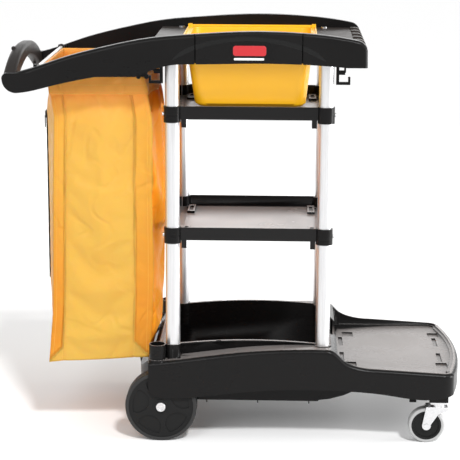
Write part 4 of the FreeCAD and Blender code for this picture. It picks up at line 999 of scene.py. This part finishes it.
def zip_tape():
    """Woven tape in two halves, slightly rippled towards its outer edges."""
    points, faces = [], []
    for side in (-1, 1):
        rows = []
        for r in range(TAPE_ROWS + 1):
            z = TAPE_LOW.z + (TAPE_HIGH.z - TAPE_LOW.z) * r / TAPE_ROWS
            ripple = 0.0003 * math.sin(r * 0.9 + side) + 0.0003 * noise.noise(Vector((side, 0, z * 60)))
            rows.append([Vector((TAPE_X + ripple * j / TAPE_LANES,
                                 side * (TAPE_GAP + (TAPE_HIGH.y - TAPE_GAP) * j / TAPE_LANES), z))
                         for j in range(TAPE_LANES + 1)])
        more, more_faces = strip_mesh(rows)
        faces += [tuple(i + len(points) for i in face) for face in more_faces]
        points += more
    tape = cloth_piece("zip_tape_looks", points, faces, TAPE_PLY, "zip_black")
    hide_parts("zip_tape")


def zip_teeth():
    """Teeth that alternate between the tape's halves."""
    points, faces = [], []
    for k in range(int((TAPE_HIGH.z - TAPE_LOW.z) / TOOTH_PITCH)):
        side = -1 if k % 2 else 1
        z = TAPE_LOW.z + TOOTH_PITCH * (k + 0.5)
        add_block(points, faces, (TAPE_X - 0.0009, side * 0.0009, z), TOOTH_HALF)
    obj = new_piece("zip_teeth", mesh_from("zip_teeth", points, faces), "zip_metal", "bag")
    obj.modifiers.new("edge", "BEVEL").width = 0.0003


def zip_stitching():
    """A line of stitches along each edge of the tape."""
    tracks = [[(Vector((TAPE_X - 0.0006, side * (TAPE_HIGH.y - TAPE_SEWING),
                        TAPE_LOW.z + (TAPE_HIGH.z - TAPE_LOW.z) * k / 90)), Vector((-1, 0, 0)))
               for k in range(91)] for side in (-1, 1)]
    sewing("zip_stitching", "zip_black", tracks, 0.0048, 0.0032, 0.0004)


def add_block(points, faces, centre, half):
    """A rectangular block given by its centre and half sizes."""
    base = len(points)
    for dx in (-1, 1):
        for dy in (-1, 1):
            for dz in (-1, 1):
                points.append((centre[0] + dx * half[0], centre[1] + dy * half[1], centre[2] + dz * half[2]))
    for quad in ((0, 1, 3, 2), (4, 6, 7, 5), (0, 4, 5, 1), (2, 3, 7, 6), (0, 2, 6, 4), (1, 5, 7, 3)):
        faces.append(tuple(base + i for i in quad))


grid, settled = cloth_bag()
bag_surface = Surface(grid, settled)
hem_band(bag_surface)
rod_loops(bag_surface)
bag_stitching(bag_surface)
zip_tape()
zip_teeth()
zip_stitching()


# ---------------------------------------------------------------- stage

WORLD_LIGHT = 0.62               # strength of the surroundings as light; seen directly they are white
SUN_WAY = (-0.36, 0.8, -1.0)
AIM = (0, 0, 0.6)                # where the studio lights point
LIGHTS = (                       # name, place, (width, height), power
    ("key", (-1.2, -3.2, 2.6), (1.6, 1.6), 40.0),
    ("rim", (2.6, -1.2, 2.2), (1.2, 1.2), 14.0),
    ("back", (0.0, 5.0, 1.7), (6.0, 2.6), 85.0),
    ("nose", (4.5, 0.0, 1.0), (2.0, 2.0), 150.0),
)
CAMERA_PLACE = (0.128, -4.632, 1.5965)
CAMERA_TURN = (-1.939, 12.745, 0.23)     # degrees to the side, down and rolled
CAMERA_LENS = 129.1


def make_floor():
    bpy.ops.mesh.primitive_plane_add(size=40.0, location=(0, 0, CAD_BOUNDS[0][2]))
    floor = bpy.context.object
    floor.name = "stage_floor"
    s = Shader("stage_floor")
    s.put(Base_Color=(0.9, 0.9, 0.9, 1.0), Roughness=0.8, Specular_IOR_Level=0.1)
    floor.data.materials.append(s.material)


def make_world():
    """White surroundings that light the cart more softly than they look."""
    world = bpy.data.worlds.new("studio")
    bpy.context.scene.world = world
    world.use_nodes = True
    tree = world.node_tree
    background = tree.nodes["Background"]
    background.inputs["Color"].default_value = (1.0, 1.0, 1.0, 1.0)
    seen = tree.nodes.new("ShaderNodeLightPath").outputs["Is Camera Ray"]
    strength = tree.nodes.new("ShaderNodeMapRange")
    strength.inputs["To Min"].default_value = WORLD_LIGHT
    tree.links.new(seen, strength.inputs["Value"])
    tree.links.new(strength.outputs[0], background.inputs["Strength"])
    bpy.context.scene.view_settings.view_transform = "Standard"


def add_light(light, way):
    """Puts a light in the scene, shining along a direction."""
    obj = new_object(light.name, light)
    obj.rotation_euler = Vector(way).to_track_quat("-Z", "Y").to_euler()
    return obj


def make_lights():
    sun = bpy.data.lights.new("stage_sun", "SUN")
    sun.energy = 2.1
    sun.angle = math.radians(7.0)
    add_light(sun, SUN_WAY)
    for name, place, (width, height), power in LIGHTS:
        light = bpy.data.lights.new("stage_" + name, "AREA")
        light.shape = "RECTANGLE"
        light.size = width
        light.size_y = height
        light.energy = power
        obj = add_light(light, Vector(AIM) - Vector(place))
        obj.location = place
        obj.visible_camera = False


def make_camera():
    """Square to the cart's side, a little above the handle."""
    yaw, pitch, roll = (math.radians(angle) for angle in CAMERA_TURN)
    forward = Vector((math.sin(yaw) * math.cos(pitch), math.cos(yaw) * math.cos(pitch), -math.sin(pitch)))
    level = Vector((math.cos(yaw), -math.sin(yaw), 0.0))
    above = level.cross(forward)
    right = math.cos(roll) * level + math.sin(roll) * above
    up = math.cos(roll) * above - math.sin(roll) * level
    camera = bpy.data.cameras.new("camera")
    camera.lens = CAMERA_LENS
    camera.sensor_width = 36.0
    camera.clip_end = 100.0
    obj = new_object("camera", camera)
    turn = Matrix((right, up, -forward)).transposed().to_4x4()
    obj.matrix_world = Matrix.Translation(CAMERA_PLACE) @ turn
    bpy.context.scene.camera = obj


make_floor()
make_world()
make_lights()
make_camera()
